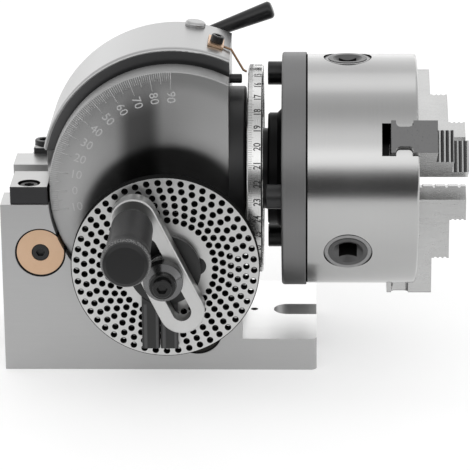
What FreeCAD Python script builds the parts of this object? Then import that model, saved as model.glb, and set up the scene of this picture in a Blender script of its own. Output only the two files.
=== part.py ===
"""Semi-universal dividing head, 100 mm centre height, with a 125 mm three-jaw chuck.

The origin is on the base's bottom face, straight under the swivel axis. +X runs along the
spindle towards the chuck, +Y away from the crank, +Z up. Lengths are in millimetres.
"""
import FreeCAD
import Part
import math
import os

Vector = FreeCAD.Vector
X_DIR = Vector(1, 0, 0)
Y_DIR = Vector(0, 1, 0)
Z_DIR = Vector(0, 0, 1)

# Fits and clearances
running_gap = 0.06
seat_gap = 0.05
clear_gap = 0.3
wide_gap = 1.0

# Base casting
centre_height = 100.0
base_left_margin = 25.6
base_right = 77.3
base_width = 92.4
floor_height = 17.8
cheek_thickness = 21.2
cheek_drop = 6.0
cheek_top = centre_height - cheek_drop
cheek_right_top = 40.0
front_cheek_right = 37.0
rear_cheek_right = 37.0
bolt_slot_width = 16.0
bolt_slot_centre = 61.6
left_slot_centre = -79.0
key_slot_width = 14.0
key_slot_depth = 4.0
key_slot_length = 30.0
drain_hole_r = 2.0
drain_hole_x = 42.8
casting_round = 3.0
front_y = -base_width / 2
rear_y = base_width / 2

# Swivel head, turned about an axis along Y at the centre height
drum_r = 72.4
rim_step = 6.3
rim_r = drum_r - rim_step
base_left = -(rim_r + base_left_margin)
rim_face_y = -40.5
rim_width = 15.0
rim_chamfer = 0.6
groove_depth = 3.6
groove_r = rim_r - groove_depth
groove_width = 9.5
shoulder_round = 2.0
drum_back_y = 40.0
head_face_x = 30.3

# Clamp blocks and swivel cotters
block_screw_offset = 10.4
block_screw_margin = 9.7
block_screw_x = -(rim_r + block_screw_offset)
block_left = block_screw_x - block_screw_margin
block_height = 10.0
block_depth = 27.7
block_round = 0.6
front_clamp_screw_length = 17.0
rear_clamp_screw_length = 14.0
block_screw_inset = 6.9
rear_block_left = -82.5
rear_block_width = 11.0
rear_block_depth = 11.5
rear_block_height = 7.0
rear_pad_step = 3.0
rear_pad_height = cheek_top - rear_pad_step
rear_pad_drop = 30.0
cotter_r = 12.7
cotter_bite = 0.47
cotter_offset = rim_r + cotter_r - cotter_bite
cotter_depth = 15.0
cotter_recess = 0.8
cotter_mouth_chamfer = 1.0
cotter_socket_r = 2.4
cotter_screw_length = 15.5
cotter_angles = (205.0, 279.5)
cotter_screw_r = 4.0
cotter_head_r = 4.7
cotter_head_height = 2.6

# Socket screws
m6_r = 3.0
m6_head_r = 5.0
m6_head_height = 6.0
m6_socket_r = 2.9
m8_r = 4.0
m8_head_r = 6.5
m8_head_height = 8.0
m8_socket_r = 3.4
m5_r = 2.5
m5_head_r = 4.9

# Spindle and its bearings
spindle_bore_r = 7.2
taper_mouth_r = 8.9
taper_depth = 62.0
nose_r = 19.5
collar_r = 22.0
front_journal_r = 20.0
wheel_seat_r = 15.0
rear_journal_r = 13.0
rear_thread_r = 12.0
spindle_rear_x = -64.0
nose_end_x = 70.2
shoulder_x = 11.0
collar_left_x = 39.3
front_bush_wall = 3.0
rear_bush_wall = 4.0
cavity_r = 28.0
cavity_left_x = -14.4
rear_bore_end_x = -48.5
rear_journal_end_x = -49.5
nut_recess_r = 22.0
ring_nut_r = 19.0
ring_nut_width = 5.5
ring_nut_notches = 4
ring_nut_notch_half = 2.5
ring_nut_notch_depth = 2.2
cap_r = 45.0
cap_thickness = 8.5
cap_plug_x = 14.0
cap_screw_circle_r = 36.0
cap_screw_count = 4

# Worm gearing, 40 to 1
wheel_teeth = 40
gear_module = 1.25
worm_pitch_r = 8.6
wheel_width = 14.0
wheel_hub_r = 20.0
wheel_key_half = 2.5
wheel_key_rise = 2.0
worm_x = -2.9
worm_length = 24.0
worm_journal_r = 7.5
worm_core_r = worm_pitch_r - 1.2 * gear_module
worm_tip_r = worm_pitch_r + gear_module
wheel_pitch_r = gear_module * wheel_teeth / 2
worm_z = centre_height - wheel_pitch_r - worm_pitch_r
tooth_backlash = 0.35
worm_bore_r = 14.0
sleeve_inner_end_y = -19.0
sleeve_flange_r = 27.0
sleeve_neck_r = 18.0
sleeve_flange_thickness = 9.0
sleeve_foot_thickness = 4.5
sleeve_screw_circle_r = 22.7
sleeve_slot_half_width = 2.8
sleeve_slot_half_length = 6.0

# Index plate and its hole circles
plate_back_y = -62.0
plate_thickness = 6.0
plate_r = 50.0
plate_bore_r = 11.8
plate_screw_circle_r = 16.8
plate_screw_angles = (3.0, 123.0, 243.0)
hole_circles = ((26.5, 37, -0.72), (30.6, 39, -3.97), (34.7, 41, 1.89),
                (38.8, 43, -1.16), (42.9, 47, 1.16), (47.0, 49, -1.52))
index_hole_r = 1.5
pin_circle_number = 2
pin_hole_number = 13

# Sector arms
sector_bore_r = 9.0
sector_ring_r = 19.1
sector_ring_thickness = 2.0
sector_gap = 0.25
sector_arm_width = 9.4
sector_arm_reach = 44.0
sector_arm_offsets = (-7.9, 1.9)
sector_edge_round = 1.1
sector_cut_length = 20.0
spring_ring_r = 9.3
spring_wire_r = 0.55

# Crank
crank_thickness = 10.0
crank_width = 24.0
crank_slot_width = 10.0
crank_tail = 20.9
crank_slot_start = 16.0
crank_gap = 0.6
tenon_width = 9.9
crank_nut_r = 10.4
crank_nut_length = 10.0
crank_nut_chamfer = 3.3
crank_collar_r = 7.1
crank_collar_length = 3.6
crank_screw_length = 30.0
crank_screw_head_height = 3.2
crank_tap_depth = 22.0

# Index pin, its sleeve and the grip
sleeve_collar_length = 2.0
sleeve_collar_r = 6.6
sleeve_tail_length = 39.5
sleeve_tail_r = 5.5
index_pin_r = 1.4
index_pin_body_r = 2.0
pin_collar_length = 3.0
sleeve_bore_r = 4.0
sleeve_wall = 3.0
grip_end_wall = 8.0
index_pin_depth = 3.5
index_pin_lift = 9.0
grip_stand = 12.0
grip_rear_r = 10.9
grip_front_r = 12.7
grip_face_r = 9.6
grip_length = 56.0
grip_bore_r = 7.4
grip_flare_length = 16.0

# Dial ring and direct indexing plunger
dial_step = 15.8
dial_r = drum_r - dial_step
dial_left_x = 40.2
dial_width = 7.9
direct_hole_count = 24
direct_hole_inset = 4.1
direct_hole_circle_r = dial_r - direct_hole_inset
direct_hole_r = 2.6
direct_hole_depth = 4.0
plunger_r = 5.0
plunger_tip_r = 2.5
plunger_angle = 5.4
plunger_left_x = -6.0
plunger_tip_x = 36.8
plunger_nose_length = 7.8

# Lock lever with its eccentric
lever_throw = 7.0
lever_half_swing = 25.0
lever_shaft_r = 8.7
lever_shaft_x = 5.0
eccentric_pin_r = 1.5
lever_hub_r = 8.0
lever_hub_length = 11.0
lever_handle_angle = 21.0
lever_handle_root = 22.0
lever_handle_end = 51.0
lever_root_r = 3.3
lever_tip_r = 5.0
lever_end_round = 2.2

# Pointer, oil plug and rear cover
pointer_x = 22.3
pointer_y = 3.4
pointer_plate_front_y = -3.4
pointer_plate_length = 8.7
pointer_plate_width = 18.0
pointer_plate_thickness = 1.3
pointer_plate_lift = 0.15
pointer_screw_r = 2.0
pointer_screw_head_r = 3.5
pointer_screw_head_height = 4.0
pointer_screw_length = 8.0
pointer_wire_r = 0.6
oil_plug_x = 10.3
oil_plug_y = 33.5
oil_plug_r = 5.6
oil_stem_r = 2.5
oil_plug_height = 2.6
rear_cover_r = 19.0
rear_cover_thickness = 5.0
rear_screw_circle_r = rear_cover_r - 3
rear_screw_angles = (90.0, 210.0, 330.0)
rear_screw_r = 1.5
rear_screw_head_r = 2.75
rear_screw_head_height = 1.6
rear_screw_socket_r = 1.3
rear_screw_length = 9.0

# Backplate
backplate_hub_left_x = 50.7
backplate_hub_r = 30.5
backplate_left_x = 58.3
backplate_right_x = 71.7
backplate_r = 63.5
backplate_round = 1.6
backplate_back_round = 0.8
spigot_length = 2.8
chuck_screw_circle_r = 54.0
chuck_screw_angles = (1.5, 121.5, 241.5)
chuck_screw_length = 30.0

# Three-jaw chuck
chuck_r = 62.5
chuck_right_x = 130.9
chuck_round = 1.6
chuck_chamfer = 0.5
chuck_bore_r = 16.0
chuck_hub_r = 21.0
chuck_cavity_r = 47.5
chuck_cavity_right_x = 115.7
chuck_cover_thickness = 8.2
pinion_x = 93.7
pinion_angles = (-28.4, 91.6, 211.6)
pinion_seat_r = 12.7
pinion_head_r = 10.4
pinion_head_sink = 0.6
pinion_ring_sink = 0.9
pinion_gear_r = 9.6
pinion_key_size = 9.5
pinion_mouth_r = 8.2
pinion_mouth_depth = 2.4
pinion_key_depth = 14.0
pinion_gear_length = 14.0
pinion_gear_taper = 0.72
jaw_angles = (31.6, 151.6, 271.6)
jaw_slot_left_x = 111.2
scroll_left_x = 105.2
scroll_face_x = 111.3
scroll_ridge_height = 4.0
scroll_pitch = 5.0
scroll_hub_wall = 3.5
scroll_ridge_width = 2.1
scroll_inner_r = 22.0
scroll_outer_r = 45.5
jaw_half_width = 8.7
jaw_web_half_width = 5.3
jaw_flange_x = 115.8
jaw_groove_x = 118.3
jaw_block_x = 127.5
jaw_steps = ((26.9, 158.6), (48.6, 149.6), (68.5, 140.2))
jaw_tip_r = 9.6
jaw_shoulder_r = 15.4
jaw_tip_half_width = 2.0
jaw_tooth_width = 1.7
jaw_tooth_half_width = 5.8
jaw_tooth_count = 5
jaw_neck_round = 2.4
jaw_groove_r = 1.0
jaw_groove_inset = 0.35
jaw_groove_spacing = 2.6


def box(x0, x1, y0, y1, z0, z1):
    """Block between two corners."""
    return Part.makeBox(x1 - x0, y1 - y0, z1 - z0, Vector(x0, y0, z0))


def rod_x(radius, x0, x1, y=0.0, z=centre_height):
    """Cylinder along X, on the spindle axis unless told otherwise."""
    return Part.makeCylinder(radius, x1 - x0, Vector(x0, y, z), X_DIR)


def rod_y(radius, y0, y1, x, z):
    """Cylinder along Y through (x, z)."""
    return Part.makeCylinder(radius, y1 - y0, Vector(x, y0, z), Y_DIR)


def rod_z(radius, z0, z1, x, y):
    """Cylinder along Z through (x, y)."""
    return Part.makeCylinder(radius, z1 - z0, Vector(x, y, z0), Z_DIR)


def wire_of(points):
    """Closed straight-sided outline."""
    return Part.makePolygon([Vector(*p) for p in points] + [Vector(*points[0])])


def turned_x(profile, z=centre_height):
    """Solid of revolution about a line along X, from (x, radius) pairs."""
    face = Part.Face(wire_of([(x, 0, z + r) for x, r in profile]))
    return face.revolve(Vector(0, 0, z), X_DIR, 360)


def turned_y(profile, x, z):
    """Solid of revolution about a line along Y, from (y, radius) pairs."""
    face = Part.Face(wire_of([(x + r, y, z) for y, r in profile]))
    return face.revolve(Vector(x, 0, z), Y_DIR, 360)


def turned_about_spindle(shape, angle):
    """Copy turned about the spindle; 0 faces the crank side and 90 is up."""
    copy = shape.copy()
    copy.rotate(Vector(0, 0, centre_height), X_DIR, -angle)
    return copy


def spindle_point(radius, angle, x):
    """Point at a radius and angle about the spindle, counted as above."""
    turn = math.radians(angle)
    return Vector(x, -radius * math.cos(turn), centre_height + radius * math.sin(turn))


def worm_point(radius, angle, y):
    """Point at a radius and angle about the worm shaft, from +X towards +Z."""
    turn = math.radians(angle)
    return Vector(worm_x + radius * math.cos(turn), y, worm_z + radius * math.sin(turn))


def tube_x(outer, inner, x0, x1):
    """Ring along X on the spindle axis."""
    return rod_x(outer, x0, x1).cut(rod_x(inner, x0 - wide_gap, x1 + wide_gap))


def tube_y(outer, inner, y0, y1, x, z):
    """Ring along Y through (x, z)."""
    return rod_y(outer, y0, y1, x, z).cut(rod_y(inner, y0 - wide_gap, y1 + wide_gap, x, z))


def hexagon_rod(across_r, length, at, along):
    """Hexagonal prism standing on a point along a direction."""
    side = along.cross(Z_DIR if abs(along.z) < 0.9 else X_DIR).normalize()
    up = along.cross(side).normalize()
    corners = [at + side * (across_r * math.cos(k * math.pi / 3))
               + up * (across_r * math.sin(k * math.pi / 3)) for k in range(6)]
    outline = Part.makePolygon(corners + [corners[0]])
    return Part.Face(outline).extrude(along * length)


def socket_screw(at, along, size, shank, recess=0.5):
    """Socket head screw: the head stands from the seat point against along, the shank goes with it."""
    shank_r, head_r, head_height, socket_r = size
    head = Part.makeCylinder(head_r, head_height, at - along * head_height, along)
    edge = [e for e in head.Edges if (e.CenterOfMass - (at - along * head_height)).Length < 0.01]
    head = head.makeChamfer(0.4, edge)
    stem = Part.makeCylinder(shank_r, shank, at, along)
    socket = hexagon_rod(socket_r, head_height * recess, at - along * head_height, along)
    return head.fuse(stem).cut(socket)


M6 = (m6_r, m6_head_r, m6_head_height, m6_socket_r)
M8 = (m8_r, m8_head_r, m8_head_height, m8_socket_r)


def rounded_edges(solid, radius, chosen):
    """Rounds the edges that a test picks out."""
    edges = [e for e in solid.Edges if chosen(e)]
    return solid.makeFillet(radius, edges) if edges else solid


def is_upright(edge):
    """True for a straight edge along Z."""
    ends = edge.Vertexes
    return len(ends) == 2 and (ends[0].Point - ends[1].Point).cross(Z_DIR).Length < 0.001


def cotter_centre(angle):
    """Centre (x, z) of a swivel cotter, just outside the rim."""
    turn = math.radians(angle)
    return cotter_offset * math.cos(turn), centre_height + cotter_offset * math.sin(turn)


block_right_r = rim_r + 0.35
block_top = cheek_top + block_height
block_screw_y = front_y + block_screw_inset
rear_pad_back_y = rear_y + rear_block_depth + clear_gap
rear_block_x = rear_block_left + rear_block_width / 2
rear_block_y = rear_y + clear_gap + rear_block_depth / 2


def make_base_casting():
    """Floor with two cheeks that cradle the swivel head, bolt slots and key slots."""
    floor = box(base_left, base_right, front_y, rear_y, 0, floor_height)
    front = box(base_left, front_cheek_right, front_y, front_y + cheek_thickness, 0, cheek_top)
    rear = box(base_left, rear_cheek_right, rear_y - cheek_thickness, rear_y, 0, cheek_top)
    floor = rounded_edges(floor, casting_round, is_upright)
    body = floor.fuse([front, rear])
    body = body.cut(box(0, base_right, front_y - 1, rear_y + 1, cheek_right_top, cheek_top + 1))
    front_cradle = rod_y(rim_r + running_gap, front_y - 1, 0, 0, centre_height)
    rear_cradle = rod_y(drum_r + running_gap, 0, rear_y + 1, 0, centre_height)
    pad = box(rear_block_left - 1.5, rear_block_left + rear_block_width, rear_y - 1,
              rear_pad_back_y, rear_pad_height - rear_pad_drop, rear_pad_height)
    body = body.cut([front_cradle, rear_cradle]).fuse(pad)
    slot_half = bolt_slot_width / 2
    cuts = [rod_z(slot_half, -1, floor_height + 1, bolt_slot_centre, 0),
            box(bolt_slot_centre, base_right + 1, -slot_half, slot_half, -1, floor_height + 1),
            rod_z(slot_half, -1, floor_height + 1, left_slot_centre, 0),
            box(base_left - 1, left_slot_centre, -slot_half, slot_half, -1, floor_height + 1),
            rod_z(drain_hole_r, -1, floor_height + 1, drain_hole_x, 0)]
    key_half = key_slot_width / 2
    for start, end in ((base_left - 1, base_left + key_slot_length),
                       (base_right - key_slot_length, base_right + 1)):
        cuts.append(box(start, end, -key_half, key_half, -1, key_slot_depth))
    for angle in cotter_angles:
        x, z = cotter_centre(angle)
        cuts.append(rod_y(cotter_r + seat_gap, front_y - 1, front_y + cotter_depth, x, z))
        cuts.append(Part.makeCone(cotter_r + cotter_mouth_chamfer, cotter_r, cotter_mouth_chamfer,
                                  Vector(x, front_y, z), Y_DIR))
        cuts.append(rod_y(cotter_screw_r + seat_gap, front_y, front_y + cheek_thickness - 2, x, z))
    cuts.append(rod_z(m6_r + seat_gap, cheek_top - 16, cheek_top + 1, block_screw_x, block_screw_y))
    cuts.append(rod_z(m6_r + seat_gap, rear_pad_height - 12, rear_pad_height + 1,
                      rear_block_x, rear_block_y))
    return body.cut(cuts)


def make_front_clamp_block():
    """Block on the front cheek that keeps the rim down in its cradle."""
    block = box(block_left, -rim_r / 2, front_y, front_y + block_depth, cheek_top, block_top)
    block = block.cut(rod_y(block_right_r, front_y - 1, 0, 0, centre_height))
    rebate = box(block_left - 1, 0, front_y - 1, front_y + 1.2, cheek_top - 1, cheek_top + 0.7)
    head_room = rod_z(m6_head_r + 1, block_top - m6_head_height - 0.8, block_top + 1,
                      block_screw_x, block_screw_y)
    hole = rod_z(m6_r + seat_gap, cheek_top - 1, block_top + 1, block_screw_x, block_screw_y)
    return block.cut([rebate, head_room, hole])


def make_rear_clamp_block():
    """Smaller block on the rear cheek's pad."""
    block = box(rear_block_left, rear_block_left + rear_block_width, rear_y + clear_gap,
                rear_y + clear_gap + rear_block_depth, rear_pad_height,
                rear_pad_height + rear_block_height)
    top = rear_pad_height + rear_block_height
    block = rounded_edges(block, 2.0, lambda e: is_upright(e) or e.CenterOfMass.z > top - 0.1)
    head_room = rod_z(m6_head_r + 0.2, top - 3.5, top + 1, rear_block_x, rear_block_y)
    hole = rod_z(m6_r + seat_gap, rear_pad_height - 1, top + 1, rear_block_x, rear_block_y)
    return block.cut([head_room, hole])


def make_clamp_screws():
    """Screws of the two clamp blocks."""
    front_seat = Vector(block_screw_x, block_screw_y, block_top - m6_head_height - 0.8)
    rear_seat = Vector(rear_block_x, rear_block_y, rear_pad_height + rear_block_height - 3.5)
    return Part.makeCompound([socket_screw(front_seat, -Z_DIR, M6, front_clamp_screw_length),
                              socket_screw(rear_seat, -Z_DIR, M6, rear_clamp_screw_length)])


def make_swivel_cotters():
    """Brass bushes drawn in beside the rim, each scooped to the rim's curve."""
    bushes = []
    for angle in cotter_angles:
        x, z = cotter_centre(angle)
        face_y = front_y + cotter_recess
        bush = tube_y(cotter_r, cotter_head_r + seat_gap, face_y, face_y + cotter_head_height, x, z)
        bush = bush.fuse(tube_y(cotter_r, cotter_screw_r + seat_gap,
                                face_y + cotter_head_height, front_y + cotter_depth, x, z))
        bushes.append(bush.cut(rod_y(rim_r + clear_gap, front_y - 1, 0, 0, centre_height)))
    return Part.makeCompound(bushes)


def make_cotter_screws():
    """Black draw screws, flush in the brass bushes."""
    size = (cotter_screw_r, cotter_head_r, cotter_head_height, cotter_socket_r)
    seat_y = front_y + cotter_recess + cotter_head_height
    screws = []
    for angle in cotter_angles:
        x, z = cotter_centre(angle)
        screws.append(socket_screw(Vector(x, seat_y, z), Y_DIR, size, cotter_screw_length, 0.8))
    return Part.makeCompound(screws)


plunger_z = centre_height + direct_hole_circle_r * math.cos(math.radians(plunger_angle))
plunger_y = -direct_hole_circle_r * math.sin(math.radians(plunger_angle))
lever_shaft_z = plunger_z + lever_throw
lever_shaft_y = plunger_y + plunger_r
cap_right_x = head_face_x + cap_thickness
plate_front_y = plate_back_y - plate_thickness
head_front_y = rim_face_y
groove_y = rim_face_y + rim_width
drum_front_y = groove_y + groove_width
sleeve_neck_y = plate_back_y + sleeve_flange_thickness


def make_swivel_head():
    """Iron drum: graduated front disc, groove, body, flat face for the spindle bearing."""
    drum = turned_y([(head_front_y, 0), (head_front_y, rim_r - rim_chamfer),
                     (head_front_y + rim_chamfer, rim_r), (groove_y, rim_r), (groove_y, groove_r),
                     (drum_front_y, groove_r), (drum_front_y, drum_r),
                     (drum_back_y - 1, drum_r), (drum_back_y, drum_r - 1), (drum_back_y, 0)],
                    0, centre_height)
    shoulder = [e for e in drum.Edges if e.Length > 6 * drum_r
                and abs(e.CenterOfMass.y - drum_front_y) < 0.01]
    drum = drum.makeFillet(shoulder_round, shoulder)
    drum = drum.cut(box(head_face_x, drum_r + 1, front_y, rear_y, 0, 2 * centre_height))
    cuts = [rod_x(cavity_r, cavity_left_x, head_face_x + 1),
            rod_x(rear_journal_r + rear_bush_wall + seat_gap, rear_bore_end_x - 1, cavity_left_x + 1),
            rod_x(nut_recess_r, -drum_r - 1, rear_bore_end_x),
            rod_y(worm_bore_r + seat_gap, head_front_y - 1, drum_back_y + 1, worm_x, worm_z),
            rod_x(plunger_r + running_gap, plunger_left_x - 4, head_face_x + 1,
                  plunger_y, plunger_z),
            rod_y(lever_shaft_r + running_gap, lever_shaft_y - plunger_r / 2, drum_back_y + 1,
                  lever_shaft_x, lever_shaft_z)]
    for k in range(cap_screw_count):
        at = spindle_point(cap_screw_circle_r, 45 + 360 / cap_screw_count * k, head_face_x - 14)
        cuts.append(Part.makeCylinder(m6_r + seat_gap, 15, at, X_DIR))
    for angle in (0, 180):
        at = worm_point(sleeve_screw_circle_r, angle, head_front_y - 1)
        cuts.append(Part.makeCylinder(m5_r + seat_gap, 11, at, Y_DIR))
    for angle in rear_screw_angles:
        at = worm_point(rear_screw_circle_r, angle, drum_back_y - 8)
        cuts.append(Part.makeCylinder(rear_screw_r + 0.1, 9, at, Y_DIR))
    cuts.append(radial_rod(oil_plug_x, oil_plug_y, oil_stem_r + seat_gap, drum_r - 3.4, drum_r + 1))
    cuts.append(radial_rod(pointer_x, pointer_y, pointer_screw_r + seat_gap,
                           drum_r - pointer_screw_length, drum_r + 1))
    return drum.cut(cuts)


def radial_rod(x, y, radius, r0, r1):
    """Cylinder standing on the drum, square to its surface at the given x and y."""
    lean = math.asin(x / drum_r)
    outward = Vector(math.sin(lean), 0, math.cos(lean))
    start = Vector(0, y, centre_height) + outward * r0
    return Part.makeCylinder(radius, r1 - r0, start, outward)


def make_front_bearing_cap():
    """Black flange screwed to the flat face, with the front bearing's seat."""
    flange = rod_x(cap_r, head_face_x, cap_right_x)
    edge = [e for e in flange.Edges if abs(e.CenterOfMass.x - cap_right_x) < 0.01]
    flange = flange.makeChamfer(0.8, edge)
    plug = rod_x(cavity_r - seat_gap, cap_plug_x, head_face_x)
    cuts = [rod_x(front_journal_r + front_bush_wall + seat_gap, cap_plug_x - 1, cap_right_x + 1)]
    for k in range(cap_screw_count):
        at = spindle_point(cap_screw_circle_r, 45 + 360 / cap_screw_count * k, head_face_x - 1)
        cuts.append(Part.makeCylinder(m6_r + seat_gap, cap_thickness + 2, at, X_DIR))
        seat = spindle_point(cap_screw_circle_r, 45 + 360 / cap_screw_count * k,
                             cap_right_x - m6_head_height - 0.4)
        cuts.append(Part.makeCylinder(m6_head_r + 0.4, m6_head_height + 2, seat, X_DIR))
    return flange.fuse(plug).cut(cuts)


def make_cap_screws():
    """Socket screws of the bearing flange, sunk under its face."""
    screws = []
    for k in range(cap_screw_count):
        seat = spindle_point(cap_screw_circle_r, 45 + 360 / cap_screw_count * k,
                             cap_right_x - m6_head_height - 0.4)
        screws.append(socket_screw(seat, -X_DIR, M6, 14))
    return Part.makeCompound(screws)


def make_front_bush():
    """Bronze bush round the spindle's front journal."""
    return tube_x(front_journal_r + front_bush_wall, front_journal_r + running_gap,
                  cap_plug_x, cap_right_x)


def make_rear_bush():
    """Bronze bush round the spindle's rear journal."""
    return tube_x(rear_journal_r + rear_bush_wall, rear_journal_r + running_gap,
                  rear_bore_end_x, cavity_left_x)


def make_worm_sleeve():
    """Eccentric sleeve round the worm shaft's front end; it carries the index plate."""
    nose_end_y = crank_back_y + crank_gap
    ring_y = sector_outer_y
    foot_y = head_front_y - sleeve_foot_thickness
    outline = [(sleeve_inner_end_y, worm_bore_r), (head_front_y, worm_bore_r),
               (head_front_y, sleeve_flange_r), (foot_y, sleeve_flange_r),
               (foot_y, sleeve_neck_r), (sleeve_neck_y, sleeve_neck_r),
               (sleeve_neck_y, sleeve_flange_r), (plate_back_y, sleeve_flange_r),
               (plate_back_y, plate_bore_r - seat_gap), (plate_front_y, plate_bore_r - seat_gap),
               (plate_front_y, sector_bore_r), (ring_y, sector_bore_r),
               (ring_y, spring_ring_r - spring_wire_r), (nose_end_y + 0.4, spring_ring_r - spring_wire_r),
               (nose_end_y + 0.4, sector_bore_r), (nose_end_y, sector_bore_r - 0.4),
               (nose_end_y, worm_journal_r + running_gap),
               (sleeve_inner_end_y, worm_journal_r + running_gap)]
    sleeve = turned_y(outline, worm_x, worm_z)
    cuts = []
    for angle in plate_screw_angles:
        at = worm_point(plate_screw_circle_r, angle, plate_back_y - 1)
        cuts.append(Part.makeCylinder(m5_r + seat_gap, 11, at, Y_DIR))
    half = sleeve_slot_half_length
    slots = tube_y(sleeve_screw_circle_r + sleeve_slot_half_width,
                   sleeve_screw_circle_r - sleeve_slot_half_width,
                   foot_y - 1, head_front_y + 1, worm_x, worm_z)
    cuts.append(slots.common(box(worm_x - plate_r, worm_x + plate_r, foot_y - 1, head_front_y + 1,
                                 worm_z - half, worm_z + half)))
    spread = math.degrees(math.asin(half / sleeve_screw_circle_r))
    for angle in (-spread, spread, 180 - spread, 180 + spread):
        at = worm_point(sleeve_screw_circle_r, angle, foot_y - 1)
        cuts.append(Part.makeCylinder(sleeve_slot_half_width, sleeve_foot_thickness + 2, at, Y_DIR))
    return sleeve.cut(cuts)


def make_sleeve_lock_screws():
    """Two screws that clamp the sleeve's slotted foot to the drum's face."""
    size = (m5_r, 4.2, 3.5, 2.2)
    screws = []
    for angle in (0, 180):
        at = worm_point(sleeve_screw_circle_r, angle, head_front_y - sleeve_foot_thickness)
        screws.append(socket_screw(at, Y_DIR, size, 13))
    return Part.makeCompound(screws)


sector_outer_y = plate_front_y - 2 * (sector_ring_thickness + sector_gap)
crank_back_y = sector_outer_y - 2 * spring_wire_r - 1.0
crank_front_y = crank_back_y - crank_thickness
pin_r, pin_count, pin_phase = hole_circles[pin_circle_number]
pin_angle = pin_phase + 360.0 / pin_count * pin_hole_number


def make_worm_bush():
    """Rear bush of the worm shaft."""
    return tube_y(worm_bore_r, worm_journal_r + running_gap, -sleeve_inner_end_y,
                  drum_back_y, worm_x, worm_z)


def make_rear_cover():
    """Round cover over the worm shaft's rear end."""
    cover = rod_y(rear_cover_r, drum_back_y, drum_back_y + rear_cover_thickness, worm_x, worm_z)
    edge = [e for e in cover.Edges
            if abs(e.CenterOfMass.y - drum_back_y - rear_cover_thickness) < 0.01]
    cover = cover.makeChamfer(0.8, edge)
    cuts = []
    for angle in rear_screw_angles:
        at = worm_point(rear_screw_circle_r, angle, drum_back_y - 1)
        cuts.append(Part.makeCylinder(rear_screw_r + 0.1, rear_cover_thickness + 2, at, Y_DIR))
        seat = at + Y_DIR * (1 + rear_cover_thickness - rear_screw_head_height)
        cuts.append(Part.makeCylinder(rear_screw_head_r + 0.15, 3, seat, Y_DIR))
    return cover.cut(cuts)


def make_rear_cover_screws():
    """Small screws of the rear cover."""
    size = (rear_screw_r, rear_screw_head_r, rear_screw_head_height, rear_screw_socket_r)
    screws = []
    for angle in rear_screw_angles:
        at = worm_point(rear_screw_circle_r, angle,
                        drum_back_y + rear_cover_thickness - rear_screw_head_height)
        screws.append(socket_screw(at, -Y_DIR, size, rear_screw_length))
    return Part.makeCompound(screws)


def make_oil_plug():
    """Domed plug in the oil hole on top of the drum."""
    stem = radial_rod(oil_plug_x, oil_plug_y, oil_stem_r, drum_r - 3.2, drum_r)
    disc = radial_rod(oil_plug_x, oil_plug_y, oil_plug_r, drum_r - 0.1, drum_r + oil_plug_height)
    top = [e for e in disc.Edges if e.CenterOfMass.z > centre_height + drum_r + 1]
    disc = disc.makeFillet(oil_plug_height * 0.6, top)
    flat = rod_y(drum_r, oil_plug_y - 10, drum_back_y, 0, centre_height)
    return disc.cut(flat).fuse(stem)


def make_index_plate():
    """Hardened plate with six circles of index holes."""
    plate = tube_y(plate_r, plate_bore_r, plate_front_y, plate_back_y, worm_x, worm_z)
    rims = [e for e in plate.Edges if e.Length > 6 * plate_r]
    plate = plate.makeChamfer(0.5, rims)
    cuts = []
    for radius, count, phase in hole_circles:
        for k in range(count):
            at = worm_point(radius, phase + 360.0 / count * k, plate_front_y - 1)
            cuts.append(Part.makeCylinder(index_hole_r, plate_thickness + 2, at, Y_DIR))
    for angle in plate_screw_angles:
        at = worm_point(plate_screw_circle_r, angle, plate_front_y)
        cuts.append(Part.makeCylinder(m5_r + seat_gap, plate_thickness + 1, at, Y_DIR))
        cuts.append(Part.makeCone(m5_head_r + seat_gap, m5_r + seat_gap, m5_head_r - m5_r, at, Y_DIR))
    return plate.cut(cuts)


def make_plate_screws():
    """Countersunk screws of the index plate."""
    screws = []
    for angle in plate_screw_angles:
        at = worm_point(plate_screw_circle_r, angle, plate_front_y)
        head = Part.makeCone(m5_head_r, m5_r, m5_head_r - m5_r, at, Y_DIR)
        stem = Part.makeCylinder(m5_r, plate_thickness + 7, at, Y_DIR)
        socket = hexagon_rod(1.7, 2, at, Y_DIR)
        screws.append(head.fuse(stem).cut(socket))
    return Part.makeCompound(screws)


def make_spring_ring():
    """Wire ring that holds the sector arms on the sleeve's nose."""
    at = Vector(worm_x, sector_outer_y - spring_wire_r - 0.1, worm_z)
    return Part.makeTorus(spring_ring_r, spring_wire_r, at, Y_DIR)


def sector_arm(offset, ring_front_y):
    """Ring on the nose with one bar, which is as thick as both rings outside them."""
    ring = tube_y(sector_ring_r, sector_bore_r + running_gap, ring_front_y,
                  ring_front_y + sector_ring_thickness, worm_x, worm_z)
    bar_front_y = sector_outer_y
    left = worm_x + offset - sector_arm_width / 2
    right = left + sector_arm_width
    bottom = worm_z - sector_arm_reach
    slim = box(left, right, ring_front_y, ring_front_y + sector_ring_thickness,
               bottom, worm_z - sector_bore_r - 3)
    thick = box(left, right, bar_front_y, plate_front_y - sector_gap, bottom, worm_z)
    cut_y = plate_front_y - sector_cut_length
    thick = thick.cut(rod_y(sector_ring_r + clear_gap, cut_y, plate_front_y, worm_x, worm_z))
    bar = slim.fuse(thick).cut(rod_y(sector_bore_r + running_gap, cut_y, plate_front_y, worm_x, worm_z))
    bar = rounded_edges(bar, sector_edge_round,
                        lambda e: is_upright(e) and abs(e.CenterOfMass.y - bar_front_y) < 0.01
                        and e.Length > sector_arm_reach / 3)
    return ring.fuse(bar)


def make_sector_arm_rear():
    """Sector arm next to the plate."""
    return sector_arm(sector_arm_offsets[0], plate_front_y - sector_gap - sector_ring_thickness)


def make_sector_arm_front():
    """Sector arm on top of the first one."""
    return sector_arm(sector_arm_offsets[1], sector_outer_y)


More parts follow.
